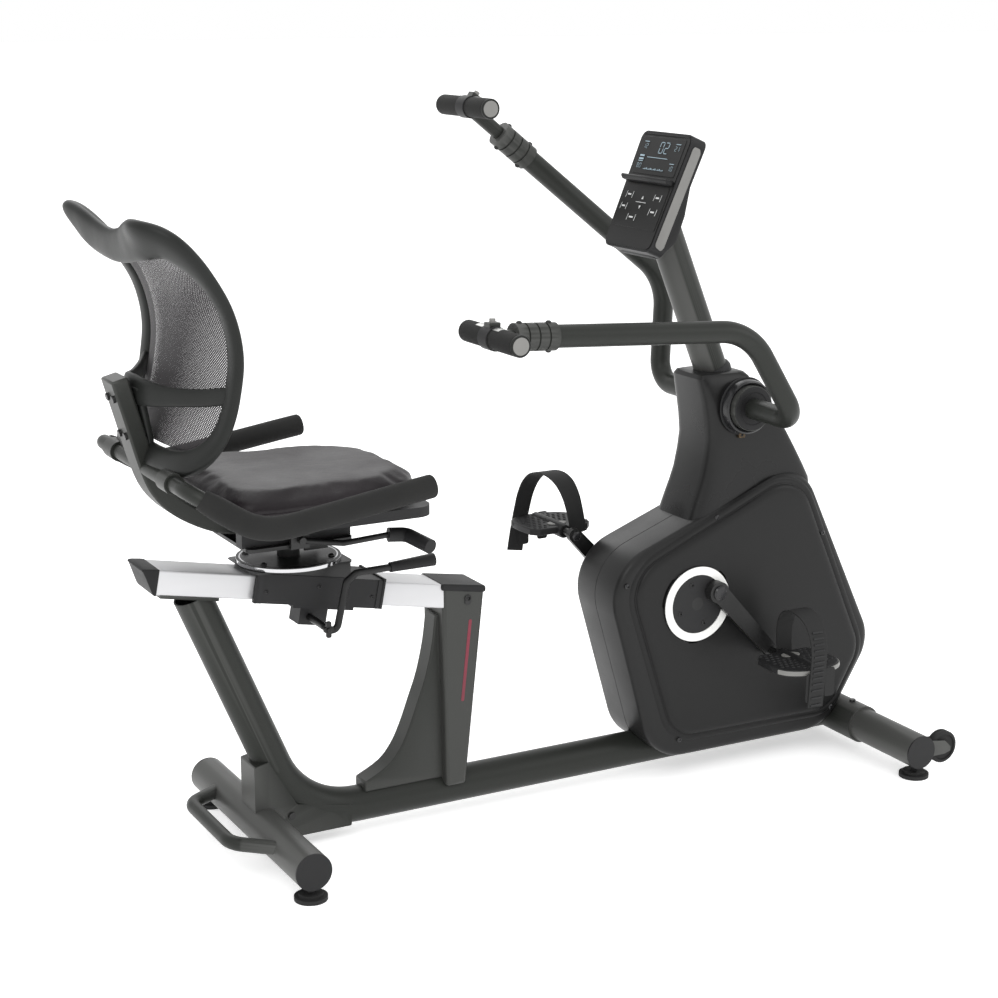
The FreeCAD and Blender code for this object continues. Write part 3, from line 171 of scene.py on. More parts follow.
def vinyl(colour):
    """Grained upholstery vinyl with soft creases."""
    material, nodes, links = new_material("seat_vinyl")
    shader = nodes["Principled BSDF"]
    vector = object_coords(nodes, links)
    cells = nodes.new("ShaderNodeTexVoronoi")
    cells.feature = "DISTANCE_TO_EDGE"
    cells.inputs["Scale"].default_value = 620.0
    links.new(vector, cells.inputs["Vector"])
    crease = noise(nodes, links, vector, 26.0, 5.0, 0.65)
    broad = noise(nodes, links, vector, 7.0, 3.0)
    paint = two_tone(nodes, links, broad, tuple(c * 0.8 for c in colour), tuple(c * 1.25 for c in colour))
    links.new(worn(nodes, links, paint, tuple(c * 2.0 for c in colour), 0.4), shader.inputs["Base Color"])
    links.new(spread(nodes, links, broad, 0.34, 0.5), shader.inputs["Roughness"])
    grain = nodes.new("ShaderNodeBump")
    grain.inputs["Distance"].default_value = 0.00035
    grain.inputs["Strength"].default_value = 0.5
    links.new(cells.outputs["Distance"], grain.inputs["Height"])
    shader.inputs["Specular IOR Level"].default_value = 0.2
    soft = bump(nodes, links, shader, crease, 0.0022, 0.5)
    links.new(grain.outputs["Normal"], soft.inputs["Normal"])
    return material


def woven_mesh(dark, light):
    """Open woven mesh: cords with see-through eyes, laid out on the sheet's own UV map in metres."""
    material, nodes, links = new_material("back_woven_mesh")
    shader = nodes["Principled BSDF"]
    uv = nodes.new("ShaderNodeTexCoord")
    turn = nodes.new("ShaderNodeMapping")
    turn.inputs["Rotation"].default_value = (0.0, 0.0, math.radians(45.0))
    links.new(uv.outputs["UV"], turn.inputs["Vector"])
    bands = []
    for direction in ("X", "Y"):
        wave = nodes.new("ShaderNodeTexWave")
        wave.wave_type = "BANDS"
        wave.bands_direction = direction
        wave.wave_profile = "SIN"
        wave.inputs["Scale"].default_value = 95.0
        wave.inputs["Distortion"].default_value = 0.0
        links.new(turn.outputs["Vector"], wave.inputs["Vector"])
        bands.append(wave.outputs["Fac"])
    eye = nodes.new("ShaderNodeMath")
    eye.operation = "MULTIPLY"
    links.new(bands[0], eye.inputs[0])
    links.new(bands[1], eye.inputs[1])
    solid = nodes.new("ShaderNodeMath")
    solid.operation = "LESS_THAN"
    solid.inputs[1].default_value = 0.33
    links.new(eye.outputs["Value"], solid.inputs[0])
    links.new(solid.outputs["Value"], shader.inputs["Alpha"])
    paint = two_tone(nodes, links, eye.outputs["Value"], light, dark)
    links.new(paint, shader.inputs["Base Color"])
    shader.inputs["Roughness"].default_value = 0.6
    shader.inputs["Sheen Weight"].default_value = 0.08
    shader.inputs["Specular IOR Level"].default_value = 0.2
    bump(nodes, links, shader, eye.outputs["Value"], 0.0006, 0.6).invert = True
    return material


def glow(name, colour, strength):
    material, nodes, links = new_material(name)
    shader = nodes["Principled BSDF"]
    vector = object_coords(nodes, links)
    tint = two_tone(nodes, links, noise(nodes, links, vector, 60.0), tuple(c * 0.9 for c in colour), colour)
    links.new(tint, shader.inputs["Base Color"])
    links.new(tint, shader.inputs["Emission Color"])
    shader.inputs["Emission Strength"].default_value = strength
    shader.inputs["Roughness"].default_value = 0.4
    return material


MATERIALS = {}


def make_materials(colours):
    graphite = tuple(colours.frame_colour)
    casing = tuple(colours.casing_colour)
    seat = tuple(colours.seat_colour)
    MATERIALS.update({
        "graphite": powder_coat(graphite),
        "casing": finish("casing_plastic", casing, 0.36, grain=1500.0, depth=0.00005, vary=0.06, edge=0.25),
        "satin": finish("neck_plastic", casing, 0.3, grain=1500.0, depth=0.00003, vary=0.06),
        "panel": finish("casing_panel", tuple(c * 0.75 for c in casing), 0.4, grain=1500.0, depth=0.00004,
            vary=0.06),
        "plastic": finish("black_plastic", (0.010, 0.010, 0.0105), 0.5, grain=1300.0, depth=0.00008,
            edge=0.3),
        "rim": finish("back_rim_plastic", (0.012, 0.013, 0.012), 0.44, grain=1100.0, depth=0.00006, edge=0.2),
        "gloss": finish("gloss_black", (0.012, 0.012, 0.013), 0.16, grain=300.0, depth=0.00001, coat=0.4),
        "light_grey": finish("light_grey_plastic", (0.17, 0.168, 0.16), 0.42, grain=1200.0, depth=0.00005,
            edge=0.2),
        "white": finish("white_ring", (0.82, 0.82, 0.80), 0.3, grain=1000.0, depth=0.00002, vary=0.03),
        "aluminium": finish("satin_rail", (0.56, 0.56, 0.57), 0.34, 0.35, 500.0, 0.00003, 0.05, (0.03, 1, 1)),
        "steel": finish("zinc_steel", (0.42, 0.42, 0.41), 0.33, 1.0, 700.0, 0.00003, 0.12),
        "dark_steel": finish("black_oxide_steel", (0.022, 0.022, 0.022), 0.38, 0.7, 700.0, 0.00004, 0.15,
            edge=0.3),
        "chrome": finish("polished_chrome", (0.52, 0.52, 0.53), 0.12, 1.0, 200.0, 0.00001, 0.03,
            rough_vary=0.03),
        "foam": finish("grip_foam", (0.016, 0.016, 0.0155), 0.78, grain=1800.0, depth=0.0002, vary=0.18),
        "rubber": finish("foot_rubber", (0.02, 0.02, 0.02), 0.7, grain=900.0, depth=0.0001),
        "vinyl": vinyl(seat),
        "mesh": woven_mesh((0.014, 0.013, 0.014), (0.045, 0.041, 0.044)),
        "pulse": finish("pulse_plate", (0.40, 0.40, 0.39), 0.32, 1.0, 600.0, 0.00003, 0.06, (1, 0.05, 1)),
        "stripe": finish("red_stripe", (0.16, 0.010, 0.026), 0.45, grain=900.0, depth=0.00003),
        "iron": finish("cast_iron", (0.08, 0.08, 0.08), 0.6, 0.6, 300.0, 0.0002, 0.2),
        "lcd": finish("display_glass", (0.035, 0.042, 0.048), 0.12, grain=60.0, depth=0.000004, vary=0.1,
            coat=0.6),
        # The key legends are print, not lamps; their faint emission is a painted glow.
        "legend": glow("legend_white_painted_glow", (0.55, 0.56, 0.56), 0.1),
        "segment": glow("display_segment", (0.30, 0.40, 0.46), 0.12),
        "bronze": finish("bronze_plate", (0.07, 0.05, 0.03), 0.4, 0.8, 500.0, 0.00003),
    })


CAD_FINISH = {
    "graphite": [
        "main_frame", "front_upright", "rear_stabiliser", "front_stabiliser", "carry_handle", "mast",
            "back_bracket",
        "armrest_tube", "arm_right", "arm_left", "wheel_brackets", "t_handle_right", "t_handle_left",
    ],
    "plastic": [
        "upright_cap", "stabiliser_caps", "rail_cap", "seat_pan", "lock_grip", "release_grip",
            "seat_carriage",
        "console_housing", "drive_pulley", "crank_discs", "pedal_right", "pedal_left", "strap_right",
            "strap_left",
        "wheel_right", "wheel_left", "backrest_frame",
    ],
    "casing": ["casing_right", "casing_left", "neck_shroud_right", "neck_shroud_left"],
    "rubber": ["levelling_feet", "drive_belt"],
    "dark_steel": ["frame_bolts", "back_bolts", "swivel_base", "seat_post", "lock_lever", "release_lever",
        "inner_frame", "crank_arms", "crank_shaft", "index_ring"],
    "steel": ["bearings"],
    "aluminium": ["seat_rail"],
    "white": ["disc_rings"],
    "foam": ["armrest_grips", "t_grips_right", "t_grips_left"],
    "light_grey": ["handle_button_right", "handle_button_left"],
    "vinyl": ["seat_cushion"],
    "mesh": ["backrest_mesh"],
    "iron": ["flywheel"],
    "lcd": ["display_lens"],
    "gloss": ["keypad"],
}


def finish_cad_nodes():
    """Gives every carried-over part its finish."""
    for key, names in CAD_FINISH.items():
        for name in names:
            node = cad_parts[name]
            if not node.material_slots:
                node.data.materials.append(MATERIALS[key])
            for material_slot in node.material_slots:
                material_slot.material = MATERIALS[key]


# ---------------------------------------------------------------- mesh helpers

def add_piece(name, mesh_builder, material, body, replaces=(), smooth=True, bevel=0.0, levels=0):
    """Makes a finished object from a bmesh, with its place in its mesh, and sets it on its body."""
    mesh = bpy.data.meshes.new(name)
    bmesh.ops.remove_doubles(mesh_builder, verts=mesh_builder.verts, dist=1e-6)
    bmesh.ops.recalc_face_normals(mesh_builder, faces=mesh_builder.faces)
    mesh_builder.to_mesh(mesh)
    mesh_builder.free()
    return add_mesh(name, mesh, material, body, replaces, smooth, bevel, levels)


def add_mesh(name, mesh, material, body, replaces=(), smooth=True, bevel=0.0, levels=0):
    """Makes an object from a mesh, gives it its finish and soft edges, and sets it on its body."""
    piece = bpy.data.objects.new(name, mesh)
    bpy.context.scene.collection.objects.link(piece)
    if material:
        mesh.materials.clear()
        mesh.materials.append(MATERIALS[material])
    for polygon in mesh.polygons:
        polygon.use_smooth = smooth
    if bevel > 0:
        modifier = piece.modifiers.new("soft_edges", "BEVEL")
        modifier.width = bevel
        modifier.segments = 2
        modifier.limit_method = "ANGLE"
        modifier.angle_limit = math.radians(40)
        modifier.harden_normals = False
    if levels > 0:
        modifier = piece.modifiers.new("rounding", "SUBSURF")
        modifier.levels = levels
        modifier.render_levels = levels
    if smooth and levels == 0:
        mesh.set_sharp_from_angle(angle=math.radians(35))
    if replaces:
        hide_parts(*replaces)
    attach(piece, body)
    return piece


def smooth_path(points, steps, closed=False):
    """Points on a Catmull-Rom curve through the given ones."""
    count = len(points)
    spans = count if closed else count - 1
    result = []
    for span in range(spans):
        if closed:
            four = [points[(span + k - 1) % count] for k in range(4)]
        else:
            four = [points[min(max(span + k - 1, 0), count - 1)] for k in range(4)]
        for step in range(steps):
            t = step / steps
            result.append(0.5 * (
                2 * four[1] + (four[2] - four[0]) * t + (2 * four[0] - 5 * four[1] + 4 * four[2] - four[3]) * t * t
                + (3 * four[1] - four[0] - 3 * four[2] + four[3]) * t ** 3))
    if not closed:
        result.append(points[-1])
    return result


def join_rings(builder, rings):
    """Walls between each ring of corners and the next, round a closed loop."""
    for first, second in zip(rings, rings[1:]):
        for index in range(len(first)):
            after = (index + 1) % len(first)
            builder.faces.new((first[index], first[after], second[after], second[index]))


def sweep(builder, path, sections, closed=False, side=None):
    """Lays one ring of points per path point. A section is (half width, half thickness, turn in degrees)."""
    count = len(path)
    rings = []
    for index, point in enumerate(path):
        before = path[index - 1] if closed or index > 0 else path[0]
        after = path[(index + 1) % count] if closed or index < count - 1 else path[-1]
        along = (after - before).normalized()
        reference = side[index] if side else Vector((0, 1, 0))
        across = (reference - along * reference.dot(along)).normalized()
        out = along.cross(across).normalized()
        half_width, half_thick, corners = sections[index]
        ring = []
        for step in range(len(corners)):
            u, v = corners[step]
            ring.append(builder.verts.new(point + across * (u * half_width) + out * (v * half_thick)))
        rings.append(ring)
    spans = count if closed else count - 1
    size = len(rings[0])
    for index in range(spans):
        here, there = rings[index], rings[(index + 1) % count]
        for step in range(size):
            builder.faces.new((here[step], here[(step + 1) % size], there[(step + 1) % size], there[step]))
    if not closed:
        builder.faces.new(list(reversed(rings[0])))
        builder.faces.new(rings[-1])
    return rings


def round_section(segments, power=2.0):
    """Unit points round a circle, squarer as the power grows."""
    points = []
    for step in range(segments):
        turn = 2 * math.pi * step / segments
        c, s = math.cos(turn), math.sin(turn)
        points.append((math.copysign(abs(c) ** (2 / power), c), math.copysign(abs(s) ** (2 / power), s)))
    return points


def turned(builder, centre, axis, profile, segments=48):
    """A turned solid: profile pairs are (distance along the axis, radius), ends on the axis or open."""
    axis = Vector(axis).normalized()
    helper = Vector((0, 0, 1)) if abs(axis.z) < 0.9 else Vector((1, 0, 0))
    across = axis.cross(helper).normalized()
    other = axis.cross(across).normalized()
    rings = []
    for along, radius in profile:
        middle = centre + axis * along
        if radius < 1e-7:
            rings.append([builder.verts.new(middle)])
            continue
        ring = []
        for step in range(segments):
            turn = 2 * math.pi * step / segments
            way = across * math.cos(turn) + other * math.sin(turn)
            ring.append(builder.verts.new(middle + way * radius))
        rings.append(ring)
    for here, there in zip(rings, rings[1:]):
        for step in range(segments):
            after = (step + 1) % segments
            if len(here) == 1 and len(there) == 1:
                continue
            if len(here) == 1:
                builder.faces.new((here[0], there[after], there[step]))
            elif len(there) == 1:
                builder.faces.new((here[step], here[after], there[0]))
            else:
                builder.faces.new((here[step], here[after], there[after], there[step]))


def slab_between(builder, outline, offset):
    """A closed prism from a loop of points, moved through offset."""
    low = [builder.verts.new(point) for point in outline]
    high = [builder.verts.new(point + offset) for point in outline]
    count = len(outline)
    builder.faces.new(list(reversed(low)))
    builder.faces.new(high)
    for step in range(count):
        after = (step + 1) % count
        builder.faces.new((low[step], low[after], high[after], high[step]))


def rounded_loop(corners, radius, steps=5):
    """A loop in its plane with each corner rounded."""
    count = len(corners)
    loop = []
    for index in range(count):
        here = corners[index]
        into = (corners[index - 1] - here).normalized()
        out = (corners[(index + 1) % count] - here).normalized()
        half = into.angle(out) / 2
        reach = radius / math.tan(half)
        centre = here + (into + out).normalized() * (radius / math.sin(half))
        first = here + into * reach - centre
        last = here + out * reach - centre
        for step in range(steps + 1):
            loop.append(centre + first.slerp(last, step / steps).normalized() * radius)
    return loop


# ---------------------------------------------------------------- geometry nodes

def scatter_tree(name, thing):
    """A node tree that sets a copy of thing on each point, turned to its aim and sized by an input."""
    tree = bpy.data.node_groups.new(name, "GeometryNodeTree")
    tree.interface.new_socket("Geometry", in_out="INPUT", socket_type="NodeSocketGeometry")
    size = tree.interface.new_socket("Size", in_out="INPUT", socket_type="NodeSocketFloat")
    size.default_value = 1.0
    paint = tree.interface.new_socket("Finish", in_out="INPUT", socket_type="NodeSocketMaterial")
    tree.interface.new_socket("Geometry", in_out="OUTPUT", socket_type="NodeSocketGeometry")
    nodes, links = tree.nodes, tree.links
    entry = nodes.new("NodeGroupInput")
    leave = nodes.new("NodeGroupOutput")
    pattern = nodes.new("GeometryNodeObjectInfo")
    pattern.inputs["Object"].default_value = thing
    pattern.transform_space = "ORIGINAL"
    spots = nodes.new("GeometryNodeMeshToPoints")
    links.new(entry.outputs["Geometry"], spots.inputs["Mesh"])
    aim = nodes.new("GeometryNodeInputNamedAttribute")
    aim.data_type = "FLOAT_VECTOR"
    aim.inputs["Name"].default_value = "aim"
    turn = nodes.new("FunctionNodeAlignRotationToVector")
    turn.axis = "Z"
    links.new(aim.outputs["Attribute"], turn.inputs["Vector"])
    place = nodes.new("GeometryNodeInstanceOnPoints")
    links.new(spots.outputs["Points"], place.inputs["Points"])
    links.new(pattern.outputs["Geometry"], place.inputs["Instance"])
    links.new(turn.outputs["Rotation"], place.inputs["Rotation"])
    links.new(entry.outputs["Size"], place.inputs["Scale"])
    realize = nodes.new("GeometryNodeRealizeInstances")
    links.new(place.outputs["Instances"], realize.inputs["Geometry"])
    coat = nodes.new("GeometryNodeSetMaterial")
    links.new(realize.outputs["Geometry"], coat.inputs["Geometry"])
    links.new(entry.outputs["Finish"], coat.inputs["Material"])
    links.new(coat.outputs["Geometry"], leave.inputs["Geometry"])
    return tree, size.identifier, paint.identifier


def scatter(name, pattern_mesh, spots, material, body, size=1.0, smooth=True):
    """Copies of one small mesh on spots, each (place, aim), turned into one plain mesh on its body."""
    pattern = bpy.data.objects.new(name + "_pattern", pattern_mesh)
    bpy.context.scene.collection.objects.link(pattern)
    tree, size_id, paint_id = scatter_tree(name + "_tree", pattern)
    carrier_mesh = bpy.data.meshes.new(name + "_spots")
    carrier_mesh.from_pydata([place for place, _ in spots], [], [])
    aims = carrier_mesh.attributes.new("aim", "FLOAT_VECTOR", "POINT")
    for index, (_, aim) in enumerate(spots):
        aims.data[index].vector = aim
    carrier = bpy.data.objects.new(name + "_carrier", carrier_mesh)
    bpy.context.scene.collection.objects.link(carrier)
    modifier = carrier.modifiers.new("copies", "NODES")
    modifier.node_group = tree
    modifier[size_id] = size
    modifier[paint_id] = MATERIALS[material]
    graph = bpy.context.evaluated_depsgraph_get()
    graph.update()
    result = bpy.data.meshes.new_from_object(carrier.evaluated_get(graph))
    bpy.data.objects.remove(carrier)
    bpy.data.objects.remove(pattern)
    return add_mesh(name, result, material, body, smooth=smooth)


def screw_mesh(radius, height, socket=True):
    """A dome-headed screw that stands on Z = 0, with a hexagon socket."""
    builder = bmesh.new()
    profile = [(-0.0004, 0.0), (-0.0004, radius), (height * 0.35, radius), (height * 0.8, radius * 0.8)]
    profile.append((height, radius * 0.5))
    if socket:
        profile += [(height * 0.4, radius * 0.42), (height * 0.4, 0.0)]
    else:
        profile.append((height * 1.05, 0.0))
    turned(builder, Vector((0, 0, 0)), (0, 0, 1), profile, 12)
    mesh = bpy.data.meshes.new("screw_head")
    bmesh.ops.recalc_face_normals(builder, faces=builder.faces)
    builder.to_mesh(mesh)
    builder.free()
    return mesh


# ---------------------------------------------------------------- seat and backrest

CUSHION_PLAN = [
    (-97, 0), (-95, 90), (-92, 138), (-72, 172), (-30, 180), (60, 180), (160, 169), (226, 143), (262, 95),
        (276, 40),
    (278, 0),
]
CUSHION_LAYERS = [
    (609, 0.80), (613, 0.86), (621, 0.955), (627, 0.995), (634, 1.0), (643, 0.99), (649, 0.955), (652, 0.90),
    (653, 0.75), (653.5, 0.5), (653.5, 0.2),
]


def cushion_ring(z, share):
    """The cushion's outline at one height, pulled towards its middle by share."""
    half = smooth_path([Vector((x, y, 0)) for x, y in CUSHION_PLAN], 6)
    loop = half + [Vector((point.x, -point.y, 0)) for point in reversed(half[1:-1])]
    ring = []
    for point in loop:
        x = 88 + (point.x - 88) * (share if share > 0.8 else share * 0.98)
        lift = 3.0 * math.exp(-((x + 60) / 70.0) ** 2) if z > 640 else 0.0
        ring.append(at(x, point.y * share, z + lift))
    return ring


def cushion_shell():
    builder = bmesh.new()
    rings = []
    for z, share in CUSHION_LAYERS:
        rings.append([builder.verts.new(point) for point in cushion_ring(z, share)])
    for here, there in zip(rings, rings[1:]):
        for step in range(len(here)):
            after = (step + 1) % len(here)
            builder.faces.new((here[step], here[after], there[after], there[step]))
    builder.faces.new(list(reversed(rings[0])))
    builder.faces.new(rings[-1])
    bmesh.ops.recalc_face_normals(builder, faces=builder.faces)
    mesh = bpy.data.meshes.new("cushion_shell")
    builder.to_mesh(mesh)
    builder.free()
    return mesh


def swell(mesh, voxel, pressure, cap, floor_z):
    """Fills a pad as its foam does: remesh, inflate as cloth, and hold each point within cap of its start."""
    scene = bpy.context.scene
    pad = bpy.data.objects.new("pad_in_making", mesh)
    scene.collection.objects.link(pad)
    remesh = pad.modifiers.new("even", "REMESH")
    remesh.mode = "VOXEL"
    remesh.voxel_size = voxel
    graph = bpy.context.evaluated_depsgraph_get()
    even = bpy.data.meshes.new_from_object(pad.evaluated_get(graph))
    bpy.data.objects.remove(pad)
    start = [vertex.co.copy() for vertex in even.vertices]
    pad = bpy.data.objects.new("pad_in_making", even)
    scene.collection.objects.link(pad)
    cloth = pad.modifiers.new("fill", "CLOTH")
    cloth.settings.use_pressure = True
    cloth.settings.uniform_pressure_force = pressure
    cloth.settings.quality = 4
    cloth.settings.effector_weights.gravity = 0.0
    for number in range(1, 21):
        scene.frame_set(number)
    graph = bpy.context.evaluated_depsgraph_get()
    swollen = bpy.data.meshes.new_from_object(pad.evaluated_get(graph))
    bpy.data.objects.remove(pad)
    scene.frame_set(1)
    even = swollen
    for vertex, before in zip(even.vertices, start):
        move = vertex.co - before
        if move.length > cap:
            move *= cap / move.length
        place = before + move
        place.z = max(place.z, floor_z)
        vertex.co = place
    return even


def build_cushion(sizes):
    """The padded seat: a crowned vinyl cushion with a sewn welt round its side."""
    mesh = swell(cushion_shell(), 0.005, 4.0, 0.009, 0.6078)
    builder = bmesh.new()
    builder.from_mesh(mesh)
    for _ in range(3):
        bmesh.ops.smooth_vert(builder, verts=builder.verts, factor=0.5, use_axis_x=True, use_axis_y=True,
            use_axis_z=True)
    welt_z = sizes.welt_height
    for vertex in builder.verts:
        gap = (vertex.co.z - welt_z) / 0.0035
        if abs(gap) < 2.5 and abs(vertex.normal.z) < 0.9:
            vertex.co -= vertex.normal * 0.0022 * math.exp(-gap * gap)
    pad = add_piece("seat_pad", builder, "vinyl", "seat", ["seat_cushion"], levels=1)
    cord = bmesh.new()
    loop = []
    for point in cushion_ring(welt_z * 1000, 1.0):
        middle = Vector(((88 / 1000.0 + AFT), 0, point.z))
        away = Vector((point.x - middle.x, point.y, 0)).normalized()
        hit, place, _, _ = pad_hit(pad, middle + away * 0.4, -away)
        loop.append(place - away * 0.0006 if hit else point)
    loop = smooth_path(loop[::3], 4, closed=True)
    sweep(cord, loop, [(0.0021, 0.0021, round_section(8))] * len(loop), closed=True,
          side=[Vector((0, 0, 1))] * len(loop))
    add_piece("seat_welt", cord, "vinyl", "seat")


def pad_hit(pad, origin, direction):
    return pad.ray_cast(origin, direction)


RIM_LINE = [
    (-207, 0, 1040), (-209, 62, 1046), (-213, 118, 1058), (-210, 160, 1064), (-188, 186, 1058),
        (-158, 195, 1034),
    (-130, 197, 1002), (-106, 198, 962), (-93, 198, 920), (-89, 198, 878), (-94, 197, 836), (-103, 194, 795),
    (-118, 186, 758), (-140, 168, 730), (-158, 132, 716), (-168, 70, 712), (-170, 0, 712),
]
RIM_WIDTH = [26, 28, 32, 36, 36, 30, 23, 20, 19, 19, 19, 19, 21, 23, 22, 20, 20]
RIM_THICK = [10, 10.5, 12, 14, 14, 12.5, 11, 10, 10, 10, 10, 10, 10, 10.5, 10.5, 10, 10]
RIM_OUT = [
    (-0.15, 0, 1), (-0.2, 0.05, 1), (-0.35, 0.3, 1), (-0.5, 0.6, 0.9), (-0.35, 0.95, 0.75), (-0.1, 1, 0.4),
    (0, 1, 0.12), (0, 1, 0), (0, 1, 0), (0, 1, 0), (0, 1, 0), (0, 1, -0.1), (-0.1, 1, -0.4),
        (-0.35, 0.8, -0.8),
    (-0.45, 0.35, -1), (-0.45, 0.1, -1), (-0.45, 0, -1),
]


def whole_loop(half):
    """A closed loop from its left half, whose first and last entries lie on the centre plane."""
    return half + [Vector((v.x, -v.y, v.z)) for v in reversed(half[1:-1])]


def build_backrest_rim():
    """The moulded rim with its rolled upper corners, and the bowed lumbar bar that the bracket holds."""
    steps = 6
    line = whole_loop([at(*point) for point in RIM_LINE])
    out = whole_loop([Vector(v).normalized() for v in RIM_OUT])
    widths = RIM_WIDTH + list(reversed(RIM_WIDTH[1:-1]))
    thicks = RIM_THICK + list(reversed(RIM_THICK[1:-1]))
    path = smooth_path(line, steps, closed=True)
    side = smooth_path(out, steps, closed=True)
    wide = smooth_path([Vector((w, t, 0)) for w, t in zip(widths, thicks)], steps, closed=True)
    section = round_section(20, 2.6)
    builder = bmesh.new()
    shapes = []
    for size in wide:
        shapes.append((size.x / 1000.0, size.y / 1000.0, section))
    sweep(builder, path, shapes, closed=True, side=side)
    add_piece("back_rim", builder, "rim", "seat", ["backrest_frame"], levels=1)
    bar_line = [(-96, 190, 826), (-104, 180, 824), (-126, 140, 817), (-154, 92, 813), (-176, 50, 813),
        (-184, 0, 814)]
    bar_points = [at(*point) for point in bar_line]
    bar_points += [Vector((p.x, -p.y, p.z)) for p in reversed(bar_points[:-1])]
    bar_path = smooth_path(bar_points, 6)
    middle = len(bar_path) / 2
    bar = bmesh.new()
    shapes = []
    for index in range(len(bar_path)):
        swell_in = math.exp(-((index - middle) / (middle * 0.28)) ** 2)
        shapes.append((0.014 + 0.010 * swell_in, 0.0065 + 0.002 * swell_in, round_section(16, 3.0)))
    sweep(bar, bar_path, shapes, side=[Vector((0, 0, 1))] * len(bar_path))
    add_piece("back_lumbar_bar", bar, "rim", "seat", levels=1)
    spine = bmesh.new()
    spine_line = [at(-186, 0, 822), at(-181, 0, 800), at(-176, 0, 775), at(-171, 0, 750), at(-168, 0, 728),
        at(-170, 0, 712)]
    spine_path = smooth_path(spine_line, 5)
    shapes = [(0.034 - 0.010 * index / len(spine_path), 0.007,
        round_section(16, 4.0)) for index in range(len(spine_path))]
    sweep(spine, spine_path, shapes, side=[Vector((0, 1, 0))] * len(spine_path))
    add_piece("back_spine_plate", spine, "rim", "seat", levels=1)


SHEET_ROWS = [
    (732, -124, -158, 176), (760, -113, -148, 186), (795, -101, -136, 189), (835, -92, -126, 190),
    (878, -87, -120, 190), (920, -91, -122, 190), (962, -104, -132, 190), (1000, -127, -152, 190),
    (1030, -154, -176, 188), (1048, -180, -197, 176),
]


def build_back_mesh():
    """The woven sheet stretched over the rim, dished towards its middle."""
    rows = smooth_path([Vector((z, side, mid)) for z, side, mid, _ in SHEET_ROWS], 6)
    halves = smooth_path([Vector((half, 0, 0)) for _, _, _, half in SHEET_ROWS], 6)
    across = 40
    builder = bmesh.new()
    uv_layer = builder.loops.layers.uv.new("weave")
    grid = []
    climb = 0.0
    last = None
    for row, half in zip(rows, halves):
        line = []
        here = at(row.y, 0, row.x)
        if last is not None:
            climb += (here - last).length
        last = here
        for step in range(across + 1):
            share = -1 + 2 * step / across
            x = row.z + (row.y - row.z) * abs(share) ** 2.4
            vertex = builder.verts.new(at(x, share * half.x, row.x))
            line.append((vertex, (share * half.x / 1000.0, climb)))
        grid.append(line)
    for low, high in zip(grid, grid[1:]):
        for step in range(across):
            corners = (low[step], low[step + 1], high[step + 1], high[step])
            face = builder.faces.new([corner[0] for corner in corners])
            for loop, corner in zip(face.loops, corners):
                loop[uv_layer].uv = corner[1]
    mesh = bpy.data.meshes.new("back_mesh_sheet")
    builder.to_mesh(mesh)
    builder.free()
    sheet = add_mesh("back_mesh_sheet", mesh, "mesh", "seat", ["backrest_mesh"])
    thickness = sheet.modifiers.new("cloth_thickness", "SOLIDIFY")
    thickness.thickness = 0.0008


# ---------------------------------------------------------------- stage

def build_stage(sizes):
    """A pale seamless floor, soft studio lights and the camera."""
    floor_mesh = bpy.data.meshes.new("studio_floor")
    reach = 60.0
    floor_mesh.from_pydata([(-reach, -reach, 0), (reach, -reach, 0), (reach, reach, 0), (-reach, reach, 0)],
        [], [(0, 1, 2, 3)])
    floor = bpy.data.objects.new("studio_floor", floor_mesh)
    bpy.context.scene.collection.objects.link(floor)
    paper = finish("studio_white", (0.95, 0.95, 0.95), 0.9, grain=40.0, depth=0.00001, vary=0.005)
    paper.node_tree.nodes["Principled BSDF"].inputs["Emission Color"].default_value = (1.0, 1.0, 1.0, 1.0)
    paper.node_tree.nodes["Principled BSDF"].inputs["Emission Strength"].default_value = 0.45
    floor_mesh.materials.append(paper)
    world = bpy.data.worlds.new("studio")
    world.use_nodes = True
    world.node_tree.nodes["Background"].inputs["Color"].default_value = (1.0, 1.0, 1.0, 1.0)
    world.node_tree.nodes["Background"].inputs["Strength"].default_value = sizes.sky_strength
    bpy.context.scene.world = world
    lights = [
        ("key_light", (-2.4, -2.6, 3.4), 2.4, sizes.key_power),
        ("fill_light", (2.9, -2.4, 2.2), 2.0, sizes.key_power * 0.45),
        ("back_light", (0.6, 3.0, 3.0), 2.6, sizes.key_power * 0.6),
        ("top_light", (0.0, 0.0, 4.0), 3.0, sizes.key_power * 0.5),
    ]
    for name, place, size, power in lights:
        lamp = bpy.data.lights.new(name, "AREA")
        lamp.shape = "DISK"
        lamp.size = size
        lamp.energy = power
        lamp_object = bpy.data.objects.new(name, lamp)
        lamp_object.location = place
        aim = Vector((0.0, 0.0, 0.55)) - Vector(place)
        lamp_object.rotation_euler = aim.to_track_quat("-Z", "Y").to_euler()
        bpy.context.scene.collection.objects.link(lamp_object)
    camera = bpy.data.cameras.new("camera")
    camera.lens = sizes.lens
    camera.sensor_width = 36.0
    camera_object = bpy.data.objects.new("camera", camera)
    camera_object.location = at(-1161.5, -3003.0, 1409.4)
    camera_object.rotation_euler = (math.radians(90 - 13.990), 0.0, math.radians(-28.443))
    bpy.context.scene.collection.objects.link(camera_object)
    bpy.context.scene.camera = camera_object
    bpy.context.scene.view_settings.view_transform = "Standard"


# ---------------------------------------------------------------- pedals and cranks

CRANK_LENGTH = 175.0
CRANK_AXIS = (830.0, 337.0)
BOSS_OFFSET = (35.0, 21.0)
PEDAL_INNER_Y = 136.0
BAR_X = 334.0
HUB = (935.0, 690.0)
CRANK_LEAN = math.radians(-46.9)


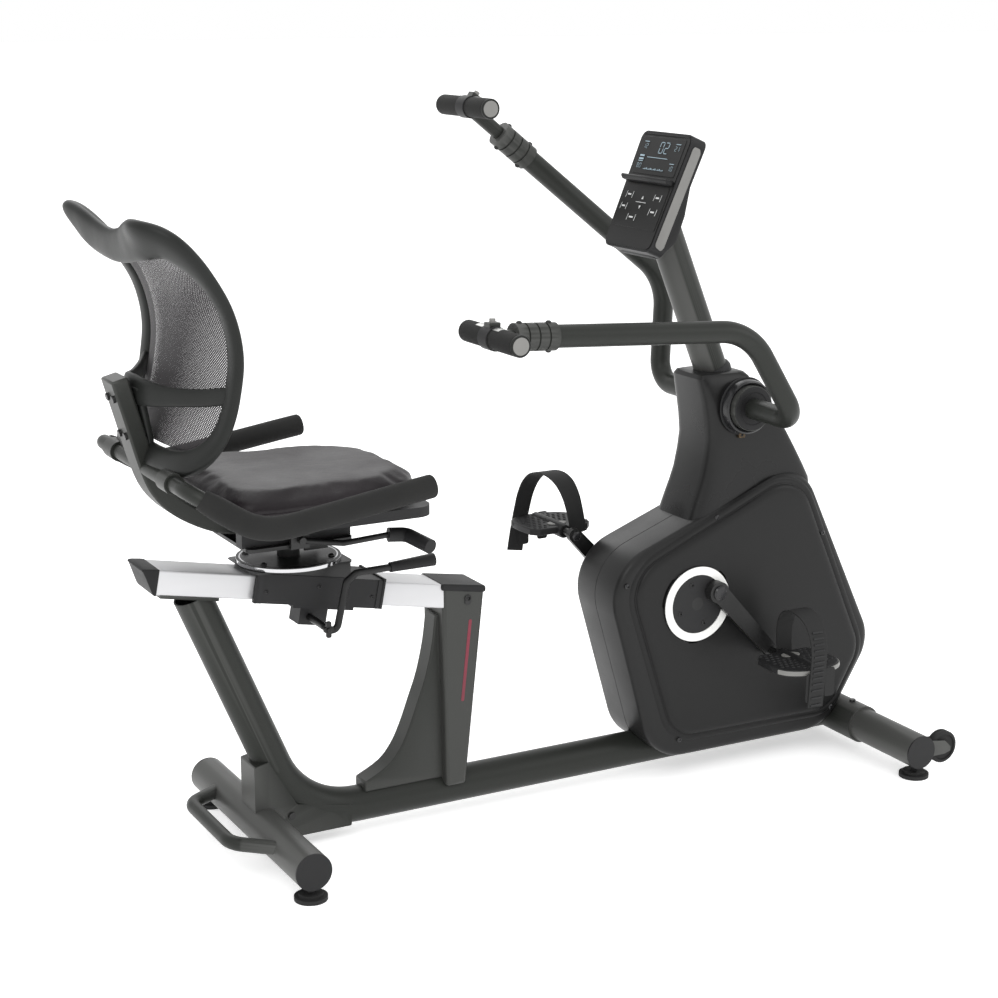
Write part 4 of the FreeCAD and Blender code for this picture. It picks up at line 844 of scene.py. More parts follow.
def spindle(sign):
    """Side-view place of a pedal spindle: sign is 1 for the right pedal and -1 for the left."""
    reach = CRANK_LENGTH * math.cos(CRANK_LEAN)
    drop = CRANK_LENGTH * math.sin(CRANK_LEAN)
    return CRANK_AXIS[0] + sign * (BOSS_OFFSET[0] + reach), CRANK_AXIS[1] + sign * (BOSS_OFFSET[1] + drop)


SIDES = (("right", -1), ("left", 1))


def stud_mesh(size, height):
    """A low diamond stud."""
    builder = bmesh.new()
    low = [builder.verts.new((size * math.cos(t), size * 0.62 * math.sin(t), -0.0003)) for t in (0, 1.5708,
        3.1416, 4.7124)]
    high = [builder.verts.new((v.co.x * 0.45, v.co.y * 0.45, height)) for v in low]
    for step in range(4):
        after = (step + 1) % 4
        builder.faces.new((low[step], low[after], high[after], high[step]))
    builder.faces.new(high)
    builder.faces.new(list(reversed(low)))
    mesh = bpy.data.meshes.new("tread_stud")
    builder.to_mesh(mesh)
    builder.free()
    return mesh


def pedal_outline(x, grow=0.0):
    """The D shape of the platform: straight at the crank, bowed at its outer side."""
    y_in = PEDAL_INNER_Y
    loop = []
    inner = [(-52, y_in), (52, y_in), (64, y_in + 14), (67, y_in + 52)]
    for px, py in inner:
        loop.append((px, py))
    for step in range(9):
        turn = math.pi * (0.06 + 0.88 * step / 8)
        loop.append((67 * math.cos(turn), y_in + 66 + 48 * math.sin(turn) ** 0.8))
    loop += [(-67, y_in + 52), (-64, y_in + 14)]
    points = []
    for px, py in loop:
        points.append((x + px * (1 + grow / 67.0), py + (grow if py > y_in + 50 else -grow)))
    return points


def build_pedals():
    """Both platforms with their studs, grey outer bands, spindle housings and slotted straps."""
    for name, side in SIDES:
        x, z = spindle(-side)
        body = "pedal_body_" + name
        builder = bmesh.new()
        outline = pedal_outline(x)
        slab_between(builder, [at(px, side * py, z - 5) for px, py in outline], Vector((0, 0, 0.0125)))
        add_piece("pedal_deck_" + name, builder, "plastic", body, ["pedal_" + name], bevel=0.002)
        band = bmesh.new()
        outer = [point for point in pedal_outline(x, 0.6) if point[1] > 190]
        ring = [at(px, side * py, z + 2.0) for px, py in outer]
        ring = smooth_path(ring, 3)
        sweep(band, ring, [(0.0042, 0.0012, round_section(10, 3.0))] * len(ring),
            side=[Vector((0, 0, 1))] * len(ring))
        add_piece("pedal_band_" + name, band, "light_grey", body)
        hub = bmesh.new()
        start = at(x, side * 130, z - 1.0)
        profile = [(0, 0.0076), (0, 0.012), (0.004, 0.0135), (0.112, 0.0125), (0.1175, 0.010), (0.1175, 0.0)]
        turned(hub, start, (0, side, 0), profile, 24)
        add_piece("pedal_housing_" + name, hub, "plastic", body)
        oval = bmesh.new()
        loop = []
        for step in range(20):
            turn = 2 * math.pi * step / 20
            loop.append(at(x + 19 * math.cos(turn), side * (162 + 12 * math.sin(turn)), z + 7.4))
        slab_between(oval, loop, Vector((0, 0, 0.0020)))
        add_piece("pedal_badge_" + name, oval, "light_grey", body, bevel=0.0006)
        spots = []
        for row in range(9):
            for column in range(11):
                px = -55 + 11 * column + (5.5 if row % 2 else 0)
                py = 146 + 11 * row
                inside = (px / 62.0) ** 2 + (max(0, py - 190) / 50.0) ** 2 < 1
                over_badge = abs(px) < 24 and py < 176
                if inside and not over_badge:
                    spots.append((at(x + px, side * py, z + 7.4), Vector((0, 0, 1))))
        scatter("pedal_studs_" + name, stud_mesh(0.0048, 0.0016), spots, "plastic", body, smooth=False)
        build_strap(name, side, x, z, body)


def strap_frame(side, x, z, skew):
    """The strap's centre line over the shoe, from the inner tab round to the hanging ladder."""
    line = [
        (131.5, -8), (131.5, 14), (132.5, 40), (138, 66), (152, 87), (174, 98), (200, 99), (224, 91),
            (242, 73),
        (252, 48), (254.5, 22), (254.5, -2), (254.5, -30), (254, -62),
    ]
    points = []
    for index, (y, rise) in enumerate(line):
        lean = skew * (index / (len(line) - 1) - 0.45)
        points.append(at(x + lean, side * y, z + rise))
    return points


def build_strap(name, side, x, z, body):
    """One strap over the shoe, with the rungs of its ladder and two hanging tails."""
    skew = -20.0 if side < 0 else -70.0
    path = smooth_path(strap_frame(side, x, z, skew), 5)
    count = len(path)
    section = [(-1, -1), (-0.3, -1), (0.3, -1), (1, -1), (1, 1), (0.3, 1), (-0.3, 1), (-1, 1)]
    builder = bmesh.new()
    sizes = []
    for index in range(count):
        share = index / (count - 1)
        flare = 5.0 * math.exp(-((share - 0.42) / 0.2) ** 2)
        sizes.append(((16.5 + flare) / 1000.0, 0.0013, section))
    sweep(builder, path, sizes, side=[Vector((1, 0, 0))] * count)
    add_piece("strap_band_" + name, builder, "rubber", body, ["strap_" + name], bevel=0.0005)
    rungs = []
    slots = []
    for index in range(int(count * 0.62), count - 1, 2):
        along = (path[index] - path[index - 1]).normalized()
        out = Vector((0, side, 0))
        aim = (out - along * out.dot(along)).normalized()
        rungs.append((path[index] + aim * 0.0011, aim))
        slots.append((path[index] + aim * 0.0014 + along * 0.0035, aim))
    rung = bmesh.new()
    corners = [Vector((-0.0115, -0.0016, 0)), Vector((0.0115, -0.0016, 0)), Vector((0.0115, 0.0016, 0)),
        Vector((-0.0115, 0.0016, 0))]
    slab_between(rung, corners, Vector((0, 0, 0.0016)))
    rung_mesh = bpy.data.meshes.new("strap_rung")
    rung.to_mesh(rung_mesh)
    rung.free()
    scatter("strap_rungs_" + name, rung_mesh, rungs, "plastic", body, smooth=False)
    buckle = bmesh.new()
    for shift in (-33, 33):
        loop = []
        for dx, dz in ((-11, -52), (11, -52), (11, 2), (-11, 2)):
            loop.append(at(x + shift * 0.62 + dx, side * 251.2, z + dz + (6 if shift > 0 else 0)))
        loop = rounded_loop(loop, 0.005, 3)
        slab_between(buckle, loop, Vector((0, side * 0.0022, 0)))
    add_piece("strap_tail_" + name, buckle, "rubber", body, bevel=0.0005)


def build_crank_trim():
    """Screws of the crank discs, end caps of the spindles and the axle's caps."""
    for name, side in SIDES:
        spots = []
        for turn in (20, 110, 200, 290):
            a = math.radians(turn)
            place = at(CRANK_AXIS[0] + 40 * math.cos(a), side * 84.0, CRANK_AXIS[1] + 40 * math.sin(a))
            spots.append((place, Vector((0, side, 0))))
        scatter("disc_screws_" + name, screw_mesh(0.0042, 0.0024), spots, "dark_steel", "crank")
        cap = bmesh.new()
        x, z = CRANK_AXIS[0] - side * BOSS_OFFSET[0], CRANK_AXIS[1] - side * BOSS_OFFSET[1]
        profile = [(-0.0004, 0), (-0.0004, 0.0135), (0.0025, 0.0135), (0.005, 0.011), (0.0056, 0.0)]
        turned(cap, at(x, side * 104, z), (0, side, 0), profile, 24)
        tip_x, tip_z = spindle(-side)
        profile = [(-0.0004, 0), (-0.0004, 0.0095), (0.0016, 0.0095), (0.0026, 0.008), (0.003, 0.0)]
        turned(cap, at(tip_x, side * 89, tip_z), (0, -side, 0), profile, 6)
        add_piece("crank_caps_" + name, cap, "gloss", "crank")


# ---------------------------------------------------------------- handles and armrests

def run_point(x, y):
    """A point on the long run of a swinging arm, in the right arm's stance."""
    return Vector((x, y, 857 + (829 - x) * math.tan(math.radians(3.2))))


def arm_matrix(side, slid=True):
    """From the right arm's stance, drawn at positive Y, to the arm's own side and stance."""
    millimetres = Matrix.Scale(0.001, 4)
    shift = Matrix.Translation(Vector((AFT, 0, 0)))
    if side < 0:
        return shift @ millimetres @ Matrix.Scale(-1, 4, Vector((0, 1, 0)))
    hub = Matrix.Translation(Vector((HUB[0], 0, HUB[1])))
    turn = Matrix.Rotation(math.radians(35.0), 4, "Y")
    along = (run_point(0, 0) - run_point(1, 0)).normalized() * (40.0 if slid else 0.0)
    return shift @ millimetres @ hub @ turn @ hub.inverted() @ Matrix.Translation(along)


def build_handles():
    """Foam grips, end discs, pulse plates, the clamp between the grips and the collar bolts of both T-handles."""
    centre = run_point(BAR_X, 0)
    for name, side in SIDES:
        body = "handle_body_" + name
        matrix = arm_matrix(side)
        foam = bmesh.new()
        for start, end in ((140.5, 206), (234, 309.5)):
            profile = [(0, 12.2), (0, 16.8), (1.2, 17.8), (3, 18.0), (end - start - 3, 18.0),
                (end - start - 1.2, 17.8),
                       (end - start, 16.8), (end - start, 12.2), (0, 12.2)]
            turned(foam, Vector((centre.x, start, centre.z)), (0, 1, 0), profile, 48)
        bmesh.ops.transform(foam, matrix=matrix, verts=foam.verts)
        add_piece("grip_foam_" + name, foam, "foam", body, ["t_grips_" + name])
        discs = bmesh.new()
        for start, sense in ((140.5, -1), (309.5, 1)):
            profile = [(0, 0), (0, 16.5), (0.6, 17.9), (3.2, 17.9), (4.6, 17.0), (4.9, 15.5), (4.2, 14.8),
                (4.2, 0)]
            turned(discs, Vector((centre.x, start, centre.z)), (0, sense, 0), profile, 48)
        bmesh.ops.transform(discs, matrix=matrix, verts=discs.verts)
        add_piece("grip_ends_" + name, discs, "rim", body)
        faces = bmesh.new()
        for start, sense in ((144.9 - 8.6, -1), (313.7, 1)):
            turned(faces, Vector((centre.x, start, centre.z)), (0, sense, 0),
                [(-0.3, 0), (-0.3, 14.4), (0.4, 14.0), (0.6, 0)], 48)
        bmesh.ops.transform(faces, matrix=matrix, verts=faces.verts)
        add_piece("grip_end_faces_" + name, faces, "light_grey", body)
        plates = bmesh.new()
        for y0, y1 in ((180, 204), (236, 256)):
            loop_low = []
            for step in range(9):
                turn = math.radians(62 + 58 * step / 8)
                loop_low.append((centre.x + 18.7 * math.cos(turn), centre.z + 18.7 * math.sin(turn)))
            inner = []
            for step in range(9):
                turn = math.radians(120 - 58 * step / 8)
                inner.append((centre.x + 16.5 * math.cos(turn), centre.z + 16.5 * math.sin(turn)))
            outline = [Vector((px, y0, pz)) for px, pz in loop_low + inner]
            slab_between(plates, outline, Vector((0, y1 - y0, 0)))
        bmesh.ops.transform(plates, matrix=matrix, verts=plates.verts)
        add_piece("pulse_plates_" + name, plates, "pulse", body, bevel=0.0005)
        clamp = bmesh.new()
        profile = [(-15, 18.2), (-15, 19.0), (-14, 20.0), (14, 20.0), (15, 19.0), (15, 18.2)]
        turned(clamp, Vector((centre.x, 220, centre.z)), (0, 1, 0), profile + [profile[0]], 40)
        bmesh.ops.transform(clamp, matrix=matrix, verts=clamp.verts)
        add_piece("grip_clamp_" + name, clamp, "plastic", body)
        plain = arm_matrix(side, slid=False)
        spots = []
        for x in (382, 436):
            for up in (1, -1):
                place = run_point(x, 220) + Vector((0, 0, up * 22.6))
                aim = (plain.to_3x3() @ Vector((0, 0, up))).normalized()
                spots.append((plain @ place, aim))
        scatter("collar_bolts_" + name, screw_mesh(0.0048, 0.0034), spots, "dark_steel", "arm_body_" + name)


def build_armrests():
    """Long foam sleeves that follow both armrest bars round their bends."""
    foam = bmesh.new()
    corner = [at(-160, 221, 680), at(-132, 234, 661), at(-112, 244, 648), at(-92, 254, 638),
        at(-66, 262, 633), at(-36, 265, 634)]
    line = smooth_path(corner + [at(20, 265, 641.5), at(90, 265, 652), at(160, 265, 662.5),
        at(199, 265, 668)], 5)
    count = len(line)
    for sign in (1, -1):
        path = [Vector((p.x, p.y * sign, p.z)) for p in line]
        along = (path[-1] - path[-2]).normalized()
        path += [path[-1] + along * 0.004, path[-1] + along * 0.0065, path[-1] + along * 0.0072]
        widths = []
        for index in range(count):
            share = index / (count - 1)
            ease = min(1.0, share / 0.12)
            widths.append(0.0158 + 0.0032 * math.sin(ease * math.pi / 2))
        widths += [0.0186, 0.0165, 0.0115]
        sweep(foam, path, [(w, w, round_section(28)) for w in widths], side=[Vector((0, 1, 0))] * len(path))
    add_piece("armrest_foam", foam, "foam", "seat", ["armrest_grips"])


# ---------------------------------------------------------------- casing, neck and hub

# Straight-sided outlines; each corner is rounded by its own radius in millimetres.
CASING_LINE = [(1068, 577, 78), (642, 415, 96), (750, 41, 92), (1146, 39, 88), (1247, 206, 80)]
PANEL_LINE = [(1052, 560, 70), (687, 401, 72), (789, 84, 66), (1146, 80, 62), (1212, 196, 62)]
RIM_SCREWS = [(684, 388), (874, 492), (1114, 433), (1150, 82), (803, 77)]

def place_line(outline, steps=14):
    """Rounds a polygon in the XZ plane with a true arc of each corner's own radius."""
    loop = []
    count = len(outline)
    for index, (x, z, radius) in enumerate(outline):
        corner = Vector((x, z))
        before = (Vector(outline[index - 1][:2]) - corner).normalized()
        after = (Vector(outline[(index + 1) % count][:2]) - corner).normalized()
        half = before.angle(after) / 2.0
        reach = radius / math.tan(half)
        centre = corner + (before + after).normalized() * (radius / math.sin(half))
        start = corner + before * reach - centre
        end = corner + after * reach - centre
        sweep_angle = start.angle_signed(end)
        for step in range(steps + 1):
            turn = -sweep_angle * step / steps
            c, s = math.cos(turn), math.sin(turn)
            spot = centre + Vector((start.x * c - start.y * s, start.x * s + start.y * c))
            loop.append(at(spot.x, 0, spot.y))
    return loop


def layered(builder, loop, side, layers, close_first=True, close_last=True):
    """Stacks inset copies of a loop; layers are (inset mm, |Y| mm)."""
    middle = sum(loop, Vector()) / len(loop)
    count = len(loop)
    normals = []
    for index, point in enumerate(loop):
        along = (loop[(index + 1) % count] - loop[index - 1]).normalized()
        inward = Vector((-along.z, 0, along.x))
        if inward.dot(middle - point) < 0:
            inward = -inward
        normals.append(inward)
    rings = []
    for inset, depth in layers:
        ring = []
        for point, inward in zip(loop, normals):
            moved = point + inward * (inset / 1000.0)
            ring.append(builder.verts.new((moved.x, side * depth / 1000.0, moved.z)))
        rings.append(ring)
    join_rings(builder, rings)
    if close_last:
        builder.faces.new(rings[-1])
    if close_first:
        builder.faces.new(list(reversed(rings[0])))
    return rings


def ring_face(builder, outer, inner_centre, radius, side, depth, drop):
    """Fills a loop round a circular recess and carries the recess down to its own floor."""
    count = len(outer)
    rim = []
    floor = []
    for vertex in outer:
        way = Vector((vertex.co.x - inner_centre.x, 0, vertex.co.z - inner_centre.z)).normalized()
        spot = inner_centre + way * radius
        rim.append(builder.verts.new((spot.x, side * depth / 1000.0, spot.z)))
        spot = inner_centre + way * (radius - 0.001)
        floor.append(builder.verts.new((spot.x, side * (depth - drop) / 1000.0, spot.z)))
    for index in range(count):
        after = (index + 1) % count
        builder.faces.new((outer[index], outer[after], rim[after], rim[index]))
        builder.faces.new((rim[index], rim[after], floor[after], floor[index]))
    builder.faces.new(floor)


def build_casing(sizes):
    """Two moulded half shells with soft edges, a raised panel each and a recess for the crank disc."""
    for name, side in SIDES:
        shell = bmesh.new()
        loop = place_line(CASING_LINE)
        layered(shell, loop, side, [(0.6, 0.4), (0, 0.9), (0, 60), (0.8, 63), (3.2, 67.6), (7, 70.6), (12,
            72.2), (18, 72.8)])
        add_piece("casing_shell_" + name, shell, "casing", "frame", ["casing_" + name])
        panel = bmesh.new()
        loop = place_line(PANEL_LINE)
        rings = layered(panel, loop, side, [(-14, 71.4), (-13, 73.2), (-9, 75.2), (-4, 75.2), (-1.5, 74.2),
            (0.5, 75.0), (1.6, 77.6), (4, 79.4), (9, 80.6), (16, 81.0)], True, False)
        ring_face(panel, rings[-1], at(CRANK_AXIS[0], 0, CRANK_AXIS[1]), 0.075, side, 81.0, 4.0)
        add_piece("casing_panel_" + name, panel, "panel", "frame")
        spots = [(at(x, side * 75.0, z), Vector((0, side, 0))) for x, z in RIM_SCREWS]
        scatter("casing_screws_" + name, screw_mesh(sizes.screw_radius, 0.0022), spots, "gloss", "frame")
    seam = bmesh.new()
    loop = place_line(CASING_LINE)
    layered(seam, loop, 1, [(1.6, -0.5), (1.6, 0.5)])
    add_piece("casing_seam", seam, "rubber", "frame")


NECK_ROWS = [
    # height, rear edge, front edge, half width
    (478, 826, 1096, 67), (490, 829, 1100, 66.5), (515, 838, 1100, 65), (540, 848, 1096, 64),
        (566, 857, 1082, 63), (600, 864, 1062, 62),
    (631, 868, 1043, 61), (665, 865, 1018, 60), (700, 859, 990, 58), (726, 853, 971, 55), (742, 849, 958, 51),
    (749, 853, 950, 46), (751, 862, 940, 40),
]


def build_neck():
    """The tapering shroud round the foot of the mast, with chamfered corners, and the hub covers."""
    shroud = bmesh.new()
    rings = []
    for z, rear, front, half in NECK_ROWS:
        middle = (rear + front) / 2
        reach = (front - rear) / 2
        ring = []
        for step in range(40):
            turn = 2 * math.pi * step / 40
            c, s = math.cos(turn), math.sin(turn)
            px = math.copysign(abs(c) ** 0.26, c) * reach + middle
            py = math.copysign(abs(s) ** 0.26, s) * half
            ring.append(shroud.verts.new(at(px, py, z)))
        rings.append(ring)
    join_rings(shroud, rings)
    shroud.faces.new(rings[-1])
    shroud.faces.new(list(reversed(rings[0])))
    add_piece("neck_shell", shroud, "satin", "frame", ["neck_shroud_right", "neck_shroud_left"])
    collar = bmesh.new()
    base = at(906, 0, 745)
    turned(collar, base, (-0.383, 0, 0.924), [(-0.004, 0.0302), (-0.004, 0.036), (0.004, 0.0365), (0.010,
        0.034), (0.012, 0.0302), (-0.004, 0.0302)], 40)
    add_piece("neck_collar", collar, "plastic", "frame")
    for name, side in SIDES:
        ring = bmesh.new()
        profile = [(-0.016, 0.0405), (-0.016, 0.050), (0.018, 0.050), (0.0225, 0.0485), (0.024, 0.0455),
            (0.0225, 0.0425), (0.018, 0.0412), (-0.016, 0.0405)]
        turned(ring, at(HUB[0], side * 58, HUB[1]), (0, side, 0), profile, 64)
        add_piece("hub_ring_" + name, ring, "gloss", "frame")
        disc = bmesh.new()
        turned(disc, at(HUB[0], side * 91, HUB[1]), (0, side, 0),
            [(0, 0), (0, 0.0385), (0.0012, 0.0398), (0.0026, 0.0385), (0.0026, 0.030), (0.0018, 0.0292),
                (0.0018, 0)], 64)
        add_piece("hub_disc_" + name, disc, "plastic", "arm_body_" + name)
        seam = bmesh.new()
        turned(seam, at(HUB[0], side * 63, HUB[1]), (0, side, 0),
            [(0, 0), (0, 0.053), (0.002, 0.0535), (0.0035, 0.052), (0.0035, 0)], 64)
        add_piece("hub_plate_" + name, seam, "plastic", "frame")


# ---------------------------------------------------------------- rail, upright and carriage

RAIL_TILT = math.radians(10.65)


def on_rail(along, up, y=0.0):
    """A point in the seat rail's own frame: along its top face from the rear end, and height over it."""
    return at(-168 + along * math.cos(RAIL_TILT) + up * math.sin(RAIL_TILT), y,
              525 - along * math.sin(RAIL_TILT) + up * math.cos(RAIL_TILT))


def build_rail():
    """The satin rail with eased edges, its wedge end cap, and the screws and lips of the carriage."""
    bar = bmesh.new()
    outline = [on_rail(0.5, up, y) for up, y in ((0.3, -38.2), (0.3, 38.2), (-41.3, 38.2), (-41.3, -38.2))]
    slab_between(bar, rounded_loop(outline, 0.0035, 4), on_rail(529, 0) - on_rail(0, 0))
    add_piece("rail_bar", bar, "aluminium", "frame", ["seat_rail"])
    cap = bmesh.new()
    layers = [(0.0, 0.8, -42, 39.0), (-3, 1.0, -42.2, 39.2), (-7, 1.0, -38, 39.2), (-20, 0.6, -15, 38.6),
        (-26, 0, -5, 37.5), (-28, -1.5, -3.5, 36.5)]
    rings = []
    for along, top, low, half in layers:
        loop = [on_rail(along, up, y) for up, y in ((top, -half), (top, half), (low, half), (low, -half))]
        rings.append([cap.verts.new(p) for p in rounded_loop(loop, 0.0012, 3)])
    join_rings(cap, rings)
    cap.faces.new(rings[-1])
    cap.faces.new(list(reversed(rings[0])))
    add_piece("rail_end_cap", cap, "plastic", "frame", ["rail_cap"], bevel=0.0015)
    spots = []
    for side in (-1, 1):
        for along, up in ((184, -24), (277, -11), (376, -24)):
            spots.append((on_rail(along, up, side * 48.0), Vector((0, side, 0))))
    scatter("carriage_screws", screw_mesh(0.0034, 0.0018), spots, "dark_steel", "carriage")
    lips = bmesh.new()
    frame_line = [(-44, -51), (8.2, -51), (8.2, 51), (-44, 51), (-44, 41.5), (1.4, 41.5), (1.4, -41.5),
        (-44, -41.5)]
    for along in (163.5, 392.0):
        slab_between(lips, [on_rail(along, up, y) for up, y in frame_line], on_rail(4.5, 0) - on_rail(0, 0))
    add_piece("carriage_lips", lips, "plastic", "carriage", bevel=0.0006)
    nut = bmesh.new()
    turned(nut, at(95, -86, 404), (0, -1, 0), [(0, 0), (0, 0.004), (0.0175, 0.004), (0.0185, 0.003), (0.0185,
        0)], 20)
    for wide, tall in ((9, 4.5), (4.5, 14)):
        loop = rounded_loop([at(95 + x * wide, -101, 404 + z * tall) for x,
            z in ((-1, -1), (1, -1), (1, 1), (-1, 1))], 0.003, 3)
        slab_between(nut, loop, Vector((0, 0.005, 0)))
    add_piece("wing_nut", nut, "dark_steel", "lock_lever_body", bevel=0.001)


def build_upright(sizes):
    """The front upright: a rounded box column, a recessed web with a curved edge, a cap and a stripe."""
    column = bmesh.new()
    outline = [at(x, -40, z) for x, z in ((334.2, 427), (415.6, 413), (378, 60), (340.2, 60))]
    slab_between(column, outline, Vector((0, 0.080, 0)))
    add_piece("upright_column", column, "graphite", "frame", ["front_upright"], bevel=0.006)
    web = bmesh.new()
    edge = smooth_path([at(x, -21, z) for x, z in ((329, 374), (322, 318), (309, 262), (293, 218), (277, 176),
        (259, 140), (234, 112), (191, 90))], 4)
    outline = edge + [at(191, -21, 72), at(345, -21, 72), at(348, -21, 374)]
    slab_between(web, outline, Vector((0, 0.042, 0)))
    add_piece("upright_web", web, "graphite", "frame", bevel=0.003)
    cap = bmesh.new()
    outline = rounded_loop([at(x, -42, z) for x, z in ((331, 433.2), (417.5, 419), (417, 406.6), (331.5,
        421))], 0.0045, 4)
    slab_between(cap, outline, Vector((0, 0.084, 0)))
    add_piece("upright_top", cap, "plastic", "frame", ["upright_cap"], bevel=0.003)
    spots = [(at(382, side * 40.1, 401), Vector((0, side, 0))) for side in (-1, 1)]
    scatter("upright_bolts", screw_mesh(0.0065, 0.0035), spots, "dark_steel", "frame")
    stripe = bmesh.new()
    half = sizes.stripe_width / 2.0
    for side in (-1, 1):
        low, high = at(371, side * 40.0, 215), at(387, side * 40.0, 362)
        across = Vector((half, 0, 0))
        loop = rounded_loop([low - across, low + across, high + across, high - across], half * 0.9, 4)
        slab_between(stripe, loop, Vector((0, side * 0.0004, 0)))
    add_piece("upright_stripe", stripe, "stripe", "frame")


# ---------------------------------------------------------------- console

FACE_TILT = math.radians(23.36)


def on_face(v, y, n):
    """A point on the console's face: height v up the face, Y across, and n out towards the rider."""
    return at(730 + v * math.sin(FACE_TILT) - n * math.cos(FACE_TILT), y,
        1012 + v * math.cos(FACE_TILT) + n * math.sin(FACE_TILT))


def face_box(builder, v0, v1, y0, y1, n0, n1, skew=0.0):
    """A thin box on the console's face; skew slides its upper edge sideways."""
    loop = [on_face(v0, y0, n0), on_face(v0, y1, n0), on_face(v1, y1 + skew, n0), on_face(v1, y0 + skew, n0)]
    slab_between(builder, loop, on_face(0, 0, n1) - on_face(0, 0, n0))


DIGIT_BARS = {
    "top": (0.94, 1, 0.12, 0.88), "middle": (0.47, 0.53, 0.12, 0.88), "bottom": (0, 0.06, 0.12, 0.88),
    "upper_left": (0.55, 0.93, 0, 0.11), "upper_right": (0.55, 0.93, 0.89, 1),
    "lower_left": (0.07, 0.45, 0, 0.11), "lower_right": (0.07, 0.45, 0.89, 1),
}
DIGITS = {
    "0": ("top", "bottom", "upper_left", "upper_right", "lower_left", "lower_right"),
    "1": ("upper_right", "lower_right"),
    "2": ("top", "middle", "bottom", "upper_right", "lower_left"),
    "8": tuple(DIGIT_BARS),
}


def digit(builder, which, v, y, height, width, n):
    """One seven-bar numeral whose lower left corner is at v, y; reading runs towards -Y."""
    for bar in DIGITS[which]:
        v0, v1, y0, y1 = DIGIT_BARS[bar]
        face_box(builder, v + v0 * height, v + v1 * height, y - y0 * width, y - y1 * width, n, n + 0.25,
            -0.04 * height)


def build_console():
    """The housing with eased edges, grey side strips, display numerals, tray lip and key legends."""
    housing = bmesh.new()
    half = 81
    outline = [(-34, -half + 6), (-34, half - 6), (172, half), (181, half - 9), (181, -half + 9),
        (172, -half)]
    loop = rounded_loop([on_face(v, y, -1.0) for v, y in outline], 0.016, 6)
    slab_between(housing, loop, on_face(0, 0, -31) - on_face(0, 0, -1))
    add_piece("console_shell", housing, "plastic", "frame", ["console_housing"], bevel=0.0045)
    rear = bmesh.new()
    line = [(20, -28), (20, 150), (36, 156), (42, 140), (60, 52), (62, 5), (40, -34), (24, -40)]
    loop = rounded_loop([on_face(v, 0, -depth) for depth, v in line], 0.010, 5)
    layered(rear, loop, 1, [(6, -54), (1.5, -52.5), (0, -48), (0, 48), (1.5, 52.5), (6, 54)])
    add_piece("console_rear", rear, "plastic", "frame")
    face = bmesh.new()
    outline = [(-30, -half + 9), (-30, half - 9), (170, half - 4), (177, half - 12), (177, -half + 12),
        (170, -half + 4)]
    loop = rounded_loop([on_face(v, y, -1.5) for v, y in outline], 0.014, 6)
    slab_between(face, loop, on_face(0, 0, 0.2) - on_face(0, 0, -1.5))
    add_piece("console_face", face, "panel", "frame", bevel=0.001)
    strips = bmesh.new()
    for side in (-1, 1):
        line = [(8, -20), (21, -24), (25, -16), (25, 156), (21, 163), (9, 163), (7, 158), (6, -14)]
        lower = [on_face(v, side * (75.8 + 5.3 * min(1.0, (v + 30) / 200.0)), -depth) for depth, v in line]
        slab_between(strips, rounded_loop(lower, 0.004, 4), Vector((0, side * 0.0012, 0)))
    add_piece("console_strips", strips, "light_grey", "frame", bevel=0.0005)
    bezel = bmesh.new()
    for v0, v1, half in ((101.5, 170.5, 66), (4, 84, 68)):
        outer = rounded_loop([on_face(v0, -half, 0.0), on_face(v0, half, 0.0), on_face(v1, half, 0.0),
            on_face(v1, -half, 0.0)], 0.004, 4)
        slab_between(bezel, outer, on_face(0, 0, 0.5) - on_face(0, 0, -0.5))
    add_piece("console_bezels", bezel, "panel", "frame", bevel=0.0004)
    lip = bmesh.new()
    line = [(95, 0), (96, 5), (92.5, 12), (95, 16), (91, 17), (86, 12), (86, 0)]
    outline = [on_face(v, -72, n) for v, n in line]
    slab_between(lip, outline, Vector((0, 0.146, 0)))
    add_piece("console_tray_lip", lip, "plastic", "frame", bevel=0.0015)
    marks = bmesh.new()
    top = 2.1
    digit(marks, "0", 141, 6, 21, 12, top)
    digit(marks, "2", 141, -10, 21, 12, top)
    for column, (y, shown) in enumerate(((58, "12"), (58, "80"), (-42, "21"), (-42, "10"))):
        v = 148 if column % 2 == 0 else 112
        for place, numeral in enumerate(shown):
            digit(marks, numeral, v, y - place * 8, 8.5, 5.2, top)
        face_box(marks, v + 12, v + 13.2, y - 14, y, top, top + 0.25)
    face_box(marks, 132, 133, -30, 34, top, top + 0.25)
    for index in range(14):
        face_box(marks, 110, 111.2 + (index % 3), 34 - index * 4.6, 31.5 - index * 4.6, top, top + 0.25)
    for v in (127, 133):
        face_box(marks, v, v + 3, 44, 58, top, top + 0.25)
    add_piece("console_numerals", marks, "segment", "frame", smooth=False)
    legends = bmesh.new()
    for v, y, wide in ((62, 46, 20), (40, 52, 18), (22, 16, 24), (62, -44, 20), (36, -44, 22)):
        face_box(legends, v - 1.2, v + 1.6, y - wide * 0.26, y + wide * 0.26, top, top + 0.2)
        for sense in (-1, 1):
            edge = y + sense * wide * 0.5
            face_box(legends, v - 6, v + 6, edge - 0.5, edge + 0.5, top, top + 0.2, -1.2)
    face_box(legends, 50, 50.9, -14, 18, top, top + 0.2)
    for sense in (-1, 1):
        tri = [on_face(50.5 + sense * 6, 4, top), on_face(50.5 + sense * 6, -2, top),
            on_face(50.5 + sense * 12, 1, top)]
        slab_between(legends, tri, on_face(0, 0, 0.2) - on_face(0, 0, 0))
    add_piece("key_legends", legends, "legend", "frame", smooth=False)


# ---------------------------------------------------------------- wheels and small fittings

